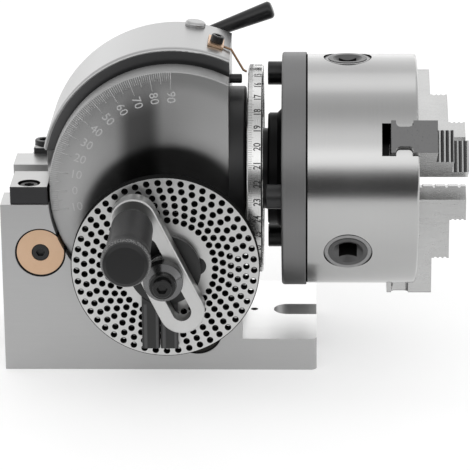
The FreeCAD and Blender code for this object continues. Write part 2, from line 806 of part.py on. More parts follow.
def make_spindle():
    """Hollow spindle: threaded nose, collar, journals, wheel seat and nut thread."""
    outline = [(spindle_rear_x, 0), (spindle_rear_x, rear_thread_r - 0.8),
               (spindle_rear_x + 0.8, rear_thread_r), (rear_journal_end_x, rear_thread_r),
               (rear_journal_end_x, rear_journal_r), (cavity_left_x + 0.8, rear_journal_r),
               (cavity_left_x + 0.8, wheel_seat_r), (shoulder_x, wheel_seat_r),
               (shoulder_x, front_journal_r), (collar_left_x, front_journal_r),
               (collar_left_x, collar_r), (backplate_hub_left_x, collar_r),
               (backplate_hub_left_x, nose_r), (nose_end_x - 1, nose_r), (nose_end_x, nose_r - 1),
               (nose_end_x, 0)]
    body = turned_x(outline)
    taper = Part.makeCone(taper_mouth_r, spindle_bore_r, taper_depth,
                          Vector(nose_end_x, 0, centre_height), -X_DIR)
    bore = rod_x(spindle_bore_r, spindle_rear_x - 1, nose_end_x + 1)
    key_seat = box(wheel_left_x + 1, wheel_left_x + wheel_width, -wheel_key_half - seat_gap,
                   wheel_key_half + seat_gap, centre_height + wheel_seat_r - wheel_key_half,
                   centre_height + wheel_seat_r + 1)
    return body.cut([taper, bore, key_seat])


wheel_left_x = worm_x - wheel_width / 2


def make_wheel_key():
    """Key between the spindle and the worm wheel."""
    return box(wheel_left_x + 1 + seat_gap, wheel_left_x + wheel_width - seat_gap, -wheel_key_half,
               wheel_key_half, centre_height + wheel_seat_r - wheel_key_half,
               centre_height + wheel_seat_r + wheel_key_rise)


def make_worm_wheel():
    """Bronze worm wheel with its teeth set at the worm's lead angle."""
    tip_r = wheel_pitch_r + 0.8 * gear_module
    root_r = wheel_pitch_r - 1.2 * gear_module
    pitch_angle = 2 * math.pi / wheel_teeth
    lead_angle = math.atan(gear_module / (2 * worm_pitch_r))
    slant = wheel_width * math.tan(lead_angle) / wheel_pitch_r
    root_half = pitch_angle * 0.5 - 0.62 * gear_module / root_r
    tip_half = pitch_angle * 0.13

    def outline(x, turn):
        corners = []
        for k in range(wheel_teeth):
            middle = turn - math.pi / 2 + k * pitch_angle
            for half, radius in ((-root_half, root_r), (-tip_half, tip_r),
                                 (tip_half, tip_r), (root_half, root_r)):
                corners.append((x, radius * math.cos(middle + half),
                                centre_height + radius * math.sin(middle + half)))
        return wire_of(corners)
    rim = Part.makeLoft([outline(wheel_left_x, -slant / 2),
                         outline(wheel_left_x + wheel_width, slant / 2)], True, True)
    hub = rod_x(wheel_hub_r, wheel_left_x + wheel_width - 1, shoulder_x)
    bore = rod_x(wheel_seat_r + seat_gap, wheel_left_x - 1, shoulder_x + 1)
    key_room = box(wheel_left_x - 1, wheel_left_x + wheel_width + 1, -wheel_key_half - seat_gap,
                   wheel_key_half + seat_gap, centre_height,
                   centre_height + wheel_seat_r + wheel_key_rise + clear_gap)
    return rim.fuse(hub).cut([bore, key_room])


def make_thrust_washer():
    """Washer between the worm wheel and the rear bush."""
    return tube_x(nut_recess_r, wheel_seat_r + seat_gap, cavity_left_x + 1.0, wheel_left_x)


def make_ring_nuts():
    """Two slotted ring nuts on the spindle's rear thread."""
    nuts = []
    for k in range(2):
        right = rear_journal_end_x - seat_gap - k * (ring_nut_width + seat_gap)
        nut = tube_x(ring_nut_r, rear_thread_r + seat_gap, right - ring_nut_width, right)
        notch = box(right - ring_nut_width - 1, right + 1, -ring_nut_notch_half, ring_nut_notch_half,
                    centre_height + ring_nut_r - ring_nut_notch_depth, centre_height + ring_nut_r + 2)
        notches = [turned_about_spindle(notch, 45 * k + 360 / ring_nut_notches * n)
                   for n in range(ring_nut_notches)]
        nuts.append(nut.cut(notches))
    return Part.makeCompound(nuts)


def make_dial_ring():
    """Graduated ring with the direct indexing holes in its back."""
    ring = tube_x(dial_r, collar_r + seat_gap, dial_left_x, dial_left_x + dial_width)
    rims = [e for e in ring.Edges if e.Length > 6 * dial_r]
    ring = ring.makeChamfer(0.6, rims)
    cuts = []
    for k in range(direct_hole_count):
        at = spindle_point(direct_hole_circle_r, 90 - plunger_angle + 360 / direct_hole_count * k,
                           dial_left_x - 1)
        cuts.append(Part.makeCylinder(direct_hole_r, direct_hole_depth + 1, at, X_DIR))
    recess = tube_x(dial_r - 9, collar_r + 6, dial_left_x + dial_width - 2, dial_left_x + dial_width + 1)
    return ring.cut(cuts + [recess])


def make_backplate():
    """Black plate threaded on the nose, with a spigot for the chuck."""
    outline = [(backplate_hub_left_x, nose_r + seat_gap), (backplate_hub_left_x, backplate_hub_r - 1),
               (backplate_hub_left_x + 1, backplate_hub_r), (backplate_left_x - 2.5, backplate_hub_r),
               (backplate_left_x, backplate_hub_r + 2.5), (backplate_left_x, backplate_r),
               (backplate_right_x, backplate_r), (backplate_right_x, chuck_cavity_r - seat_gap),
               (backplate_right_x + spigot_length, chuck_cavity_r - seat_gap),
               (backplate_right_x + spigot_length, nose_r + seat_gap)]
    plate = turned_x(outline)
    rims = [e for e in plate.Edges if e.Length > 6 * backplate_r]
    plate = plate.makeFillet(backplate_round, [e for e in rims if e.CenterOfMass.x < backplate_left_x + 1])
    rims = [e for e in plate.Edges if e.Length > 6.2 * backplate_r
            and e.CenterOfMass.x > backplate_right_x - 1]
    plate = plate.makeFillet(backplate_back_round, rims)
    cuts = []
    for angle in chuck_screw_angles:
        at = spindle_point(chuck_screw_circle_r, angle, backplate_left_x - 1)
        cuts.append(Part.makeCylinder(m8_r + seat_gap, backplate_right_x - backplate_left_x + 2,
                                      at, X_DIR))
    return plate.cut(cuts)


def make_chuck_screws():
    """Black socket screws through the backplate into the chuck."""
    screws = []
    for angle in chuck_screw_angles:
        seat = spindle_point(chuck_screw_circle_r, angle, backplate_left_x)
        screws.append(socket_screw(seat, X_DIR, M8, chuck_screw_length))
    return Part.makeCompound(screws)


def jaw_slot():
    """Room for one jaw, cut in the chuck on the crank side."""
    wide = jaw_half_width + 0.2
    narrow = jaw_web_half_width + clear_gap
    z = centre_height
    reach = -chuck_r - 1
    room = box(jaw_slot_left_x, jaw_groove_x + clear_gap, reach, 0, z - wide, z + wide)
    room = room.fuse([box(jaw_slot_left_x, chuck_right_x + 1, reach, 0, z - narrow, z + narrow),
                      box(jaw_block_x - clear_gap, chuck_right_x + 1, reach, 0, z - wide, z + wide)])
    room = room.removeSplitter()
    corners = [e for e in room.Edges if abs(abs(e.CenterOfMass.z - z) - narrow) < 0.01
               and e.Length > chuck_r and jaw_groove_x < e.CenterOfMass.x < jaw_block_x]
    return room.makeFillet(jaw_neck_round - clear_gap, corners)


def make_chuck_body():
    """Chuck body with its bore, scroll chamber, jaw slots and pinion seats."""
    body = rod_x(chuck_r, backplate_right_x, chuck_right_x)
    body = body.makeFillet(chuck_round, [e for e in body.Edges
                                         if abs(e.CenterOfMass.x - chuck_right_x) < 0.01])
    body = body.makeChamfer(chuck_chamfer, [e for e in body.Edges
                                            if abs(e.CenterOfMass.x - backplate_right_x) < 0.01])
    chamber = tube_x(chuck_cavity_r, chuck_hub_r, chuck_hub_left_x, chuck_cavity_right_x)
    mouth = rod_x(chuck_cavity_r, backplate_right_x - 1, chuck_hub_left_x)
    cuts = [chamber, mouth, rod_x(chuck_bore_r, backplate_right_x, chuck_right_x + 1)]
    for angle in pinion_angles:
        seat = rod_y(pinion_seat_r, -chuck_r - 1, -chuck_cavity_r + 6, pinion_x, centre_height)
        cuts.append(turned_about_spindle(seat, angle))
    for angle in chuck_screw_angles:
        at = spindle_point(chuck_screw_circle_r, angle, backplate_right_x - 1)
        cuts.append(Part.makeCylinder(m8_r + seat_gap,
                                      backplate_left_x + chuck_screw_length - backplate_right_x + 2,
                                      at, X_DIR))
    body = body.cut(cuts)
    slot = jaw_slot()
    for angle in jaw_angles:
        body = body.cut(turned_about_spindle(slot, angle))
    return body


chuck_hub_left_x = backplate_right_x + spigot_length + 0.2
cover_right_x = chuck_hub_left_x + chuck_cover_thickness


def make_chuck_cover():
    """Ring that closes the scroll chamber from the back."""
    return tube_x(chuck_cavity_r - seat_gap, chuck_hub_r + seat_gap, chuck_hub_left_x, cover_right_x)


def spiral_points(radius, start, end, side):
    """Points of a flat spiral that gains one pitch a turn, one edge of the scroll's ridge."""
    count = int((end - start) / math.radians(12)) + 1
    points = []
    for k in range(count + 1):
        angle = start + (end - start) * k / count
        r = radius + scroll_pitch * angle / (2 * math.pi) + side * scroll_ridge_width / 2
        points.append(Vector(scroll_face_x - 0.5, -r * math.cos(angle),
                             centre_height + r * math.sin(angle)))
    return points


def make_chuck_scroll():
    """Scroll plate: a flat spiral ridge that drives the jaws."""
    disc = tube_x(scroll_outer_r + 1, chuck_hub_r + running_gap, scroll_left_x, scroll_face_x)
    hub = tube_x(chuck_hub_r + scroll_hub_wall, chuck_hub_r + running_gap,
                 cover_right_x + clear_gap, scroll_face_x)
    turns_end = 2 * math.pi * (scroll_outer_r - scroll_inner_r - scroll_ridge_width) / scroll_pitch
    start_r = scroll_inner_r + scroll_ridge_width / 2
    edges = []
    ends = []
    for side in (-1, 1):
        curve = Part.BSplineCurve()
        points = spiral_points(start_r, 0, turns_end, side)
        curve.interpolate(points)
        edges.append(curve.toShape())
        ends.append((points[0], points[-1]))
    first = Part.makeLine(ends[0][0], ends[1][0])
    last = Part.makeLine(ends[0][1], ends[1][1])
    outline = Part.Wire(Part.__sortEdges__([edges[0], last, edges[1], first]))
    ridge = Part.Face(outline).extrude(X_DIR * (scroll_ridge_height + 0.5))
    return disc.fuse([hub, ridge])


def make_chuck_pinion(angle):
    """Bevel pinion with a square key hole, made on the crank side and turned into place."""
    z = centre_height
    head = rod_y(pinion_head_r, -chuck_r + pinion_head_sink, -chuck_cavity_r, pinion_x, z)
    gear = Part.makeCone(pinion_gear_r * pinion_gear_taper, pinion_gear_r, pinion_gear_length,
                         Vector(pinion_x, -chuck_cavity_r + pinion_gear_length, z), -Y_DIR)
    half = pinion_key_size / 2
    key_hole = box(pinion_x - half, pinion_x + half, -chuck_r - 1, -chuck_r + pinion_key_depth,
                   z - half, z + half)
    mouth = Part.makeCone(pinion_mouth_r, half, pinion_mouth_depth,
                          Vector(pinion_x, -chuck_r + pinion_head_sink, z), Y_DIR)
    return turned_about_spindle(head.fuse(gear).cut([key_hole, mouth]), angle)


def make_pinion_rings():
    """Steel rings pressed round the pinion heads."""
    rings = []
    for angle in pinion_angles:
        ring = tube_y(pinion_seat_r - seat_gap, pinion_head_r + running_gap, -chuck_r + pinion_ring_sink,
                      -chuck_cavity_r, pinion_x, centre_height)
        rings.append(turned_about_spindle(ring, angle))
    return Part.makeCompound(rings)


def jaw_grip_grooves():
    """Round grooves across each gripping face: three per step and four on the inner face."""
    z = centre_height
    grooves = []
    left = jaw_block_x
    for radius, right in reversed(jaw_steps):
        if left > jaw_block_x:
            middle = (left + right) / 2
            for k in (-1, 0, 1):
                at = Vector(middle + k * jaw_groove_spacing, -radius - jaw_groove_inset,
                            z - jaw_half_width - 1)
                grooves.append(Part.makeCylinder(jaw_groove_r, 2 * jaw_half_width + 2, at, Z_DIR))
        left = right
    inner_count = 4
    spacing = (jaw_steps[0][1] - chuck_right_x) / inner_count
    for k in range(inner_count):
        at = Vector(chuck_right_x + (k + 0.5) * spacing, -jaw_tip_r + jaw_groove_inset,
                    z - jaw_half_width - 1)
        grooves.append(Part.makeCylinder(jaw_groove_r, 2 * jaw_half_width + 2, at, Z_DIR))
    return grooves


def make_chuck_jaw(number):
    """Outside-stepped jaw, made on the crank side and turned into place."""
    z = centre_height
    outer_r = jaw_steps[-1][0]
    flange = box(jaw_flange_x, jaw_groove_x, -outer_r, -jaw_tip_r, z - jaw_half_width, z + jaw_half_width)
    web = box(jaw_flange_x, jaw_block_x + 1, -outer_r, -jaw_tip_r,
              z - jaw_web_half_width, z + jaw_web_half_width)
    steps = []
    inner = jaw_tip_r
    for radius, x in jaw_steps:
        steps.append(box(jaw_block_x, x, -radius, -inner + 0.01, z - jaw_half_width, z + jaw_half_width))
        inner = radius
    jaw = flange.fuse([web] + steps).removeSplitter()
    neck = [e for e in jaw.Edges if abs(abs(e.CenterOfMass.z - z) - jaw_web_half_width) < 0.01
            and e.Length > outer_r / 2
            and min(abs(e.CenterOfMass.x - jaw_groove_x), abs(e.CenterOfMass.x - jaw_block_x)) < 0.01]
    jaw = jaw.makeFillet(jaw_neck_round, neck)
    tip = wire_of([(jaw_flange_x - 1, -jaw_tip_r + 1, z - jaw_half_width - 1),
                   (jaw_flange_x - 1, -jaw_shoulder_r, z - jaw_half_width - 1),
                   (jaw_flange_x - 1, -jaw_shoulder_r, z - jaw_half_width),
                   (jaw_flange_x - 1, -jaw_tip_r, z - jaw_tip_half_width),
                   (jaw_flange_x - 1, -jaw_tip_r + 1, z - jaw_tip_half_width)])
    wedge = Part.Face(tip).extrude(X_DIR * (jaw_steps[0][1] - jaw_flange_x + 2))
    other = wedge.mirror(Vector(0, 0, z), Z_DIR)
    jaw = jaw.cut([wedge, other] + jaw_grip_grooves())
    teeth = []
    lead = scroll_pitch * ((jaw_angles[number] % 360) / 360.0)
    first = scroll_inner_r + scroll_ridge_width / 2 + lead + scroll_pitch / 2
    for k in range(jaw_tooth_count):
        middle = first + k * scroll_pitch
        if middle + 3 > scroll_outer_r or middle < scroll_inner_r + 3:
            continue
        ring = tube_x(middle + jaw_tooth_width / 2, middle - jaw_tooth_width / 2,
                      scroll_face_x + clear_gap, jaw_flange_x + 0.2)
        window = box(scroll_face_x, jaw_flange_x + 0.2, -chuck_r, 0,
                     z - jaw_tooth_half_width, z + jaw_tooth_half_width)
        teeth.append(ring.common(window))
    return turned_about_spindle(jaw.fuse(teeth), jaw_angles[number])


def make_worm_shaft():
    """Worm shaft: front tenon for the crank, journals and a single-start worm."""
    length_half = worm_length / 2
    outline = [(crank_back_y + 0.1, 0), (crank_back_y + 0.1, worm_journal_r),
               (-length_half, worm_journal_r), (-length_half, worm_core_r),
               (length_half, worm_core_r), (length_half, worm_journal_r),
               (drum_back_y - 1, worm_journal_r), (drum_back_y - 1, 0)]
    shaft = turned_y(outline, worm_x, worm_z)
    tenon = rod_y(worm_journal_r, crank_front_y + 0.5, crank_back_y + 0.2, worm_x, worm_z)
    flats = box(-tenon_width / 2, tenon_width / 2, crank_front_y, crank_back_y + 0.2,
                -worm_journal_r - 1, worm_journal_r + 1)
    flats.rotate(Vector(0, 0, 0), Y_DIR, 90 - pin_angle)
    flats.translate(Vector(worm_x, 0, worm_z))
    tap = rod_y(m6_r + seat_gap, crank_front_y - 1, crank_front_y + crank_tap_depth, worm_x, worm_z)
    return shaft.fuse([tenon.common(flats), make_worm_thread()]).cut(tap)


def make_worm_thread():
    """Worm tooth: a trapezoid carried along a helix."""
    pitch = math.pi * gear_module
    half_root = pitch / 4 + 0.15
    half_tip = pitch / 4 - 0.75 * gear_module * math.tan(math.radians(20)) - tooth_backlash / 2
    length = worm_length - pitch
    helix = Part.makeHelix(pitch, length, worm_core_r)
    section = wire_of([(worm_core_r - 0.3, 0, -half_root), (worm_tip_r - 0.1, 0, -half_tip),
                       (worm_tip_r - 0.1, 0, half_tip), (worm_core_r - 0.3, 0, half_root)])
    thread = Part.Wire(helix.Edges).makePipeShell([section], True, True)
    mesh_turn = 90 + 180 * (length + pitch) / pitch
    thread.rotate(Vector(0, 0, 0), X_DIR, -90)
    thread.rotate(Vector(0, 0, 0), Y_DIR, -mesh_turn)
    thread.translate(Vector(worm_x, -length / 2, worm_z))
    return thread


def along_crank(distance, y):
    """Point on the crank's centre line, at a distance from the worm shaft towards the grip."""
    return worm_point(distance, pin_angle, y)


def crank_bar(half_width, start, end, y0, y1):
    """Round-ended bar along the crank's centre line."""
    bar = box(start, end, y0, y1, -half_width, half_width)
    ends = [rod_y(half_width, y0, y1, start, 0), rod_y(half_width, y0, y1, end, 0)]
    bar = bar.fuse(ends).removeSplitter()
    bar.rotate(Vector(0, 0, 0), Y_DIR, -pin_angle)
    bar.translate(Vector(worm_x, 0, worm_z))
    return bar


def make_crank_arm():
    """Bright slotted crank arm."""
    arm = crank_bar(crank_width / 2, -crank_tail, pin_r, crank_front_y, crank_back_y)
    rims = [e for e in arm.Edges if abs(e.CenterOfMass.y - crank_front_y) < 0.01]
    arm = arm.makeChamfer(0.6, rims)
    slot = crank_bar(crank_slot_width / 2, -crank_tail, pin_r - crank_slot_start,
                     crank_front_y - 1, crank_back_y + 1)
    at = along_crank(pin_r, crank_front_y - 1)
    hole = Part.makeCylinder(sleeve_tail_r + seat_gap, crank_thickness + 2, at, Y_DIR)
    return arm.cut([slot, hole])


def make_crank_nut():
    """Chamfered black clamp nut over the crank's slot."""
    end_y = crank_front_y - crank_nut_length
    outline = [(crank_front_y, m6_r + seat_gap), (crank_front_y, crank_nut_r),
               (end_y + crank_nut_chamfer, crank_nut_r),
               (end_y, crank_nut_r - crank_nut_chamfer), (end_y, crank_collar_r),
               (end_y - crank_collar_length, crank_collar_r - 0.4),
               (end_y - crank_collar_length, m6_r + seat_gap)]
    return turned_y(outline, worm_x, worm_z)


def make_crank_screw():
    """Socket screw that holds the crank on the worm shaft."""
    seat = Vector(worm_x, crank_front_y - crank_nut_length - crank_collar_length, worm_z)
    size = (m6_r, m6_head_r, crank_screw_head_height, m6_socket_r)
    return socket_screw(seat, Y_DIR, size, crank_screw_length, 0.8)


grip_rear_y = crank_front_y - grip_stand
grip_front_y = grip_rear_y - grip_length
pin_tip_y = plate_front_y + index_pin_depth - index_pin_lift
pin_collar_y = crank_back_y - sleeve_wall - clear_gap - index_pin_lift
sleeve_end_y = crank_front_y - sleeve_collar_length - sleeve_tail_length


def make_plunger_sleeve():
    """Steel sleeve fixed in the crank arm, with the chamber of the index pin's spring."""
    at = along_crank(pin_r, 0)
    front_guide = index_pin_r + running_gap
    rear_guide = index_pin_body_r + running_gap
    outline = [(crank_back_y, front_guide), (crank_back_y, sleeve_tail_r),
               (crank_front_y, sleeve_tail_r), (crank_front_y, sleeve_collar_r),
               (crank_front_y - sleeve_collar_length, sleeve_collar_r),
               (crank_front_y - sleeve_collar_length, sleeve_tail_r),
               (sleeve_end_y, sleeve_tail_r), (sleeve_end_y, rear_guide),
               (sleeve_end_y + sleeve_wall, rear_guide), (sleeve_end_y + sleeve_wall, sleeve_bore_r),
               (crank_back_y - sleeve_wall, sleeve_bore_r), (crank_back_y - sleeve_wall, front_guide)]
    return turned_y(outline, at.x, at.z)


def make_index_pin():
    """Index pin, drawn clear of the plate: thin tip, collar for the spring, stem to the grip."""
    at = along_crank(pin_r, 0)
    collar_r = sleeve_bore_r - running_gap
    outline = [(pin_tip_y, 0), (pin_tip_y, index_pin_r - 0.3), (pin_tip_y - 0.6, index_pin_r),
               (pin_collar_y, index_pin_r), (pin_collar_y, collar_r),
               (pin_collar_y - pin_collar_length, collar_r),
               (pin_collar_y - pin_collar_length, index_pin_body_r),
               (grip_front_y + grip_end_wall, index_pin_body_r), (grip_front_y + grip_end_wall, 0)]
    return turned_y(outline, at.x, at.z)


def make_grip():
    """Black grip: straight barrel that flares to a rounded, flat-faced end."""
    at = along_crank(pin_r, 0)
    inner_end_y = sleeve_end_y - index_pin_lift - wide_gap
    stem_hole_r = index_pin_body_r + seat_gap
    outline = [(grip_rear_y, grip_bore_r), (grip_rear_y, grip_rear_r - 0.6),
               (grip_rear_y - 0.6, grip_rear_r),
               (grip_front_y + grip_flare_length, grip_rear_r + 0.5),
               (grip_front_y + 7, grip_front_r), (grip_front_y + 4, grip_front_r),
               (grip_front_y + 1, grip_front_r - 1.4), (grip_front_y, grip_face_r),
               (grip_front_y, 0), (grip_front_y + grip_end_wall, 0),
               (grip_front_y + grip_end_wall, stem_hole_r),
               (inner_end_y, stem_hole_r), (inner_end_y, grip_bore_r)]
    return turned_y(outline, at.x, at.z)


def make_plunger_spring():
    """Coil spring between the pin's collar and the sleeve's end, as a plain tube."""
    at = along_crank(pin_r, 0)
    collar_end_y = pin_collar_y - pin_collar_length
    return tube_y(sleeve_bore_r - 0.3, index_pin_body_r + 0.3, sleeve_end_y + sleeve_wall + seat_gap,
                  collar_end_y - seat_gap, at.x, at.z)


def make_direct_plunger():
    """Plunger of the direct indexing, with a cross slot for the lever's eccentric."""
    body = rod_x(plunger_r, plunger_left_x, plunger_tip_x - plunger_nose_length, plunger_y, plunger_z)
    nose = rod_x(plunger_tip_r, plunger_tip_x - plunger_nose_length - 1, plunger_tip_x,
                 plunger_y, plunger_z)
    tip = [e for e in nose.Edges if abs(e.CenterOfMass.x - plunger_tip_x) < 0.01]
    nose = nose.makeChamfer(0.5, tip)
    x, z = eccentric_centre()
    half = eccentric_pin_r + 0.15
    slot = box(x - half, x + half, plunger_y - 1.5, plunger_y + plunger_r + 1,
               plunger_z - plunger_r - 1, plunger_z + plunger_r + 1)
    return body.fuse(nose).cut(slot)


def eccentric_centre():
    """Centre (x, z) of the eccentric pin at rest."""
    swing = math.radians(lever_half_swing)
    return (lever_shaft_x - lever_throw * math.sin(swing),
            lever_shaft_z - lever_throw * math.cos(swing))


lever_hub_y = drum_back_y + 2.0


def make_lever_shaft():
    """Shaft with the hub and eccentric of the black lever."""
    shaft = rod_y(lever_shaft_r, lever_shaft_y + 0.3, drum_back_y, lever_shaft_x, lever_shaft_z)
    neck = rod_y(lever_shaft_r - 1, drum_back_y - 1, lever_hub_y + 1, lever_shaft_x, lever_shaft_z)
    hub = rod_y(lever_hub_r, lever_hub_y, lever_hub_y + lever_hub_length,
                lever_shaft_x, lever_shaft_z)
    rims = [e for e in hub.Edges if len(e.Vertexes) == 1]
    hub = hub.makeChamfer(0.8, rims)
    x, z = eccentric_centre()
    pin = rod_y(eccentric_pin_r, plunger_y - 1, lever_shaft_y + 1, x, z)
    turn = math.radians(lever_handle_angle)
    outward = Vector(math.cos(turn), 0, math.sin(turn))
    middle = Vector(lever_shaft_x, lever_hub_y + lever_hub_length / 2, lever_shaft_z)
    stub = Part.makeCylinder(lever_root_r - 0.8, lever_handle_root - lever_hub_r + 4,
                             middle + outward * (lever_hub_r - 4), outward)
    return shaft.fuse([neck, hub, pin, stub])


def make_lever_handle():
    """Black lever handle that widens to a flat end with a rounded edge."""
    turn = math.radians(lever_handle_angle)
    outward = Vector(math.cos(turn), 0, math.sin(turn))
    middle = Vector(lever_shaft_x, lever_hub_y + lever_hub_length / 2, lever_shaft_z)
    root = lever_hub_r + 1.0
    cone = Part.makeCone(lever_root_r, lever_tip_r, lever_handle_end - root,
                         middle + outward * root, outward)
    end = middle + outward * lever_handle_end
    cone = cone.makeFillet(lever_end_round, [e for e in cone.Edges if (e.CenterOfMass - end).Length < 0.01])
    bore = Part.makeCylinder(lever_root_r - 0.8 + seat_gap, lever_handle_root - root + 0.5,
                             middle + outward * (root - 0.1), outward)
    return cone.cut(bore)


def drum_outward(x):
    """Direction square to the drum's surface at an x."""
    lean = math.asin(x / drum_r)
    return Vector(math.sin(lean), 0, math.cos(lean))


def make_pointer_plate():
    """Brass plate on the drum that carries the pointer."""
    outward = drum_outward(pointer_x)
    tangent = outward.cross(-Y_DIR).normalize()
    foot = Vector(0, pointer_plate_front_y, centre_height) + outward * (drum_r + pointer_plate_lift)
    corner = foot - tangent * (pointer_plate_length / 2)
    across = tangent * pointer_plate_length
    back = Y_DIR * pointer_plate_width
    outline = Part.makePolygon([corner, corner + across, corner + across + back, corner + back, corner])
    plate = Part.Face(outline).extrude(outward * pointer_plate_thickness)
    hole = radial_rod(pointer_x, pointer_y, pointer_screw_r + seat_gap, drum_r - 2, drum_r + 5)
    drum_body = rod_y(drum_r, drum_front_y, drum_back_y, 0, centre_height)
    return plate.cut([hole, drum_body])


def make_pointer_screw():
    """Black socket screw of the pointer plate."""
    outward = drum_outward(pointer_x)
    seat = (Vector(0, pointer_y, centre_height)
            + outward * (drum_r + pointer_plate_lift + pointer_plate_thickness))
    size = (pointer_screw_r, pointer_screw_head_r, pointer_screw_head_height, pointer_screw_r)
    return socket_screw(seat, -outward, size, pointer_screw_length)


def make_pointer_wire():
    """Brass wire from the plate, bent down to the dial ring's left edge."""
    outward = drum_outward(pointer_x)
    tangent = outward.cross(-Y_DIR).normalize()
    lift = drum_r + pointer_plate_lift + pointer_wire_r
    start = (Vector(0, pointer_y - 2, centre_height) + outward * lift
             + tangent * (pointer_plate_length / 2 + pointer_wire_r * 0.4))
    end_r = dial_r - 0.4
    end = Vector(dial_left_x - pointer_wire_r - clear_gap, pointer_y - 8,
                 centre_height + math.sqrt(end_r ** 2 - (pointer_y - 8) ** 2))
    drop = start.z - end.z
    bend = Vector(start.x + 4.0, start.y - 1.0, start.z - 0.1 * drop)
    knee = Vector(end.x - 1.8, end.y + 0.6, end.z + 0.8)
    route = [start, bend, knee, end]
    pieces = [Part.makeCylinder(pointer_wire_r, (b - a).Length, a, b - a) for a, b in zip(route, route[1:])]
    elbows = [Part.makeSphere(pointer_wire_r, at) for at in (bend, knee)]
    return pieces[0].fuse(pieces[1:] + elbows)


def all_parts():
    """Every node's name with its shape."""
    parts = {
        "base_casting": make_base_casting(),
        "front_clamp_block": make_front_clamp_block(),
        "rear_clamp_block": make_rear_clamp_block(),
        "clamp_screws": make_clamp_screws(),
        "swivel_cotters": make_swivel_cotters(),
        "cotter_screws": make_cotter_screws(),
        "swivel_head": make_swivel_head(),
        "front_bearing_cap": make_front_bearing_cap(),
        "cap_screws": make_cap_screws(),
        "front_bush": make_front_bush(),
        "rear_bush": make_rear_bush(),
        "worm_sleeve": make_worm_sleeve(),
        "sleeve_lock_screws": make_sleeve_lock_screws(),
        "worm_bush": make_worm_bush(),
        "rear_cover": make_rear_cover(),
        "rear_cover_screws": make_rear_cover_screws(),
        "oil_plug": make_oil_plug(),
        "index_plate": make_index_plate(),
        "plate_screws": make_plate_screws(),
        "spring_ring": make_spring_ring(),
        "sector_arm_rear": make_sector_arm_rear(),
        "sector_arm_front": make_sector_arm_front(),
        "spindle": make_spindle(),
        "worm_wheel": make_worm_wheel(),
        "wheel_key": make_wheel_key(),
        "thrust_washer": make_thrust_washer(),
        "ring_nuts": make_ring_nuts(),
        "dial_ring": make_dial_ring(),
        "backplate": make_backplate(),
        "chuck_screws": make_chuck_screws(),
        "chuck_body": make_chuck_body(),
        "chuck_cover": make_chuck_cover(),
        "chuck_scroll": make_chuck_scroll(),
        "pinion_rings": make_pinion_rings(),
        "worm_shaft": make_worm_shaft(),
        "crank_arm": make_crank_arm(),
        "crank_nut": make_crank_nut(),
        "crank_screw": make_crank_screw(),
        "plunger_sleeve": make_plunger_sleeve(),
        "index_pin": make_index_pin(),
        "grip": make_grip(),
        "plunger_spring": make_plunger_spring(),
        "direct_plunger": make_direct_plunger(),
        "lever_shaft": make_lever_shaft(),
        "lever_handle": make_lever_handle(),
        "pointer_plate": make_pointer_plate(),
        "pointer_screw": make_pointer_screw(),
        "pointer_wire": make_pointer_wire(),
    }
    for number, angle in enumerate(pinion_angles):
        parts[f"chuck_pinion_{number + 1}"] = make_chuck_pinion(angle)
    for number in range(len(jaw_angles)):
        parts[f"chuck_jaw_{number + 1}"] = make_chuck_jaw(number)
    return parts


def solids_only(shape):
    """The shape's solids, alone or as a group."""
    solids = shape.Solids
    return solids[0] if len(solids) == 1 else Part.makeCompound(solids)


os.makedirs("parts", exist_ok=True)
for node, shape in all_parts().items():
    solids_only(shape).exportStep(f"parts/{node}.step")
    print(node, len(shape.Solids), shape.isValid(), round(shape.Volume, 1))
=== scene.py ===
"""Looks for the dividing head: finishes, engraved scales, studio floor, light and camera.

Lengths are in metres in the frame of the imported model: +X along the spindle towards the chuck,
+Y away from the crank, +Z up, with the origin under the swivel axis on the base's bottom face.
"""
import math
import bmesh
import bpy
import numpy as np
from mathutils import Matrix, Vector


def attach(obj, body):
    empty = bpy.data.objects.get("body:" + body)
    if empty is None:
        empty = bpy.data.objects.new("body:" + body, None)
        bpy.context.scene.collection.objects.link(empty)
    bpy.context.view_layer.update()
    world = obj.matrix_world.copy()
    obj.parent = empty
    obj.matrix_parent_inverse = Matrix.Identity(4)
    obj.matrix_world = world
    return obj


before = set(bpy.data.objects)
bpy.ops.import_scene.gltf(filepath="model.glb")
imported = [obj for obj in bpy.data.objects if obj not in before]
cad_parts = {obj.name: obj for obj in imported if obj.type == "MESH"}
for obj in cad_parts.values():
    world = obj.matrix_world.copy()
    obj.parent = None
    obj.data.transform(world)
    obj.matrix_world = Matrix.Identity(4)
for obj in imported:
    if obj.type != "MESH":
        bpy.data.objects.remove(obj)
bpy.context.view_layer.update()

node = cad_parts

# Base casting: grey iron, milled on its faces and ground on the ledge and cheek tops. It stands
# on the machine table and cradles the swivel head. Its front is painted darker where the index
# plate shades it at rest.


class Value:
    """A shader socket that takes part in arithmetic: each operator adds one Math node."""

    def __init__(self, finish, socket):
        self.finish, self.socket = finish, socket

    def math(self, operation, *others):
        """The value put through one Math node, with any further values after it."""
        inputs = dict(enumerate((self, *others)))
        return self.finish.add("Math", {"operation": operation}, inputs)

    def __add__(self, other):
        return self.math("ADD", other)

    def __radd__(self, other):
        return self.math("ADD", other)

    def __mul__(self, other):
        return self.math("MULTIPLY", other)

    def __sub__(self, other):
        return self.math("SUBTRACT", other)

    def __rsub__(self, other):
        return (self * -1.0).math("ADD", other)

    def __truediv__(self, other):
        return self.math("DIVIDE", other)

    def within(self, low, high, soft):
        """1 where the value lies between low and high, fading over soft outside them."""
        rise = self.finish.add("MapRange", {"interpolation_type": "SMOOTHSTEP"},
                               {0: self, 1: low - soft, 2: low, 3: 0.0, 4: 1.0})
        fall = self.finish.add("MapRange", {"interpolation_type": "SMOOTHSTEP"},
                               {0: self, 1: high, 2: high + soft, 3: 1.0, 4: 0.0})
        return rise * fall


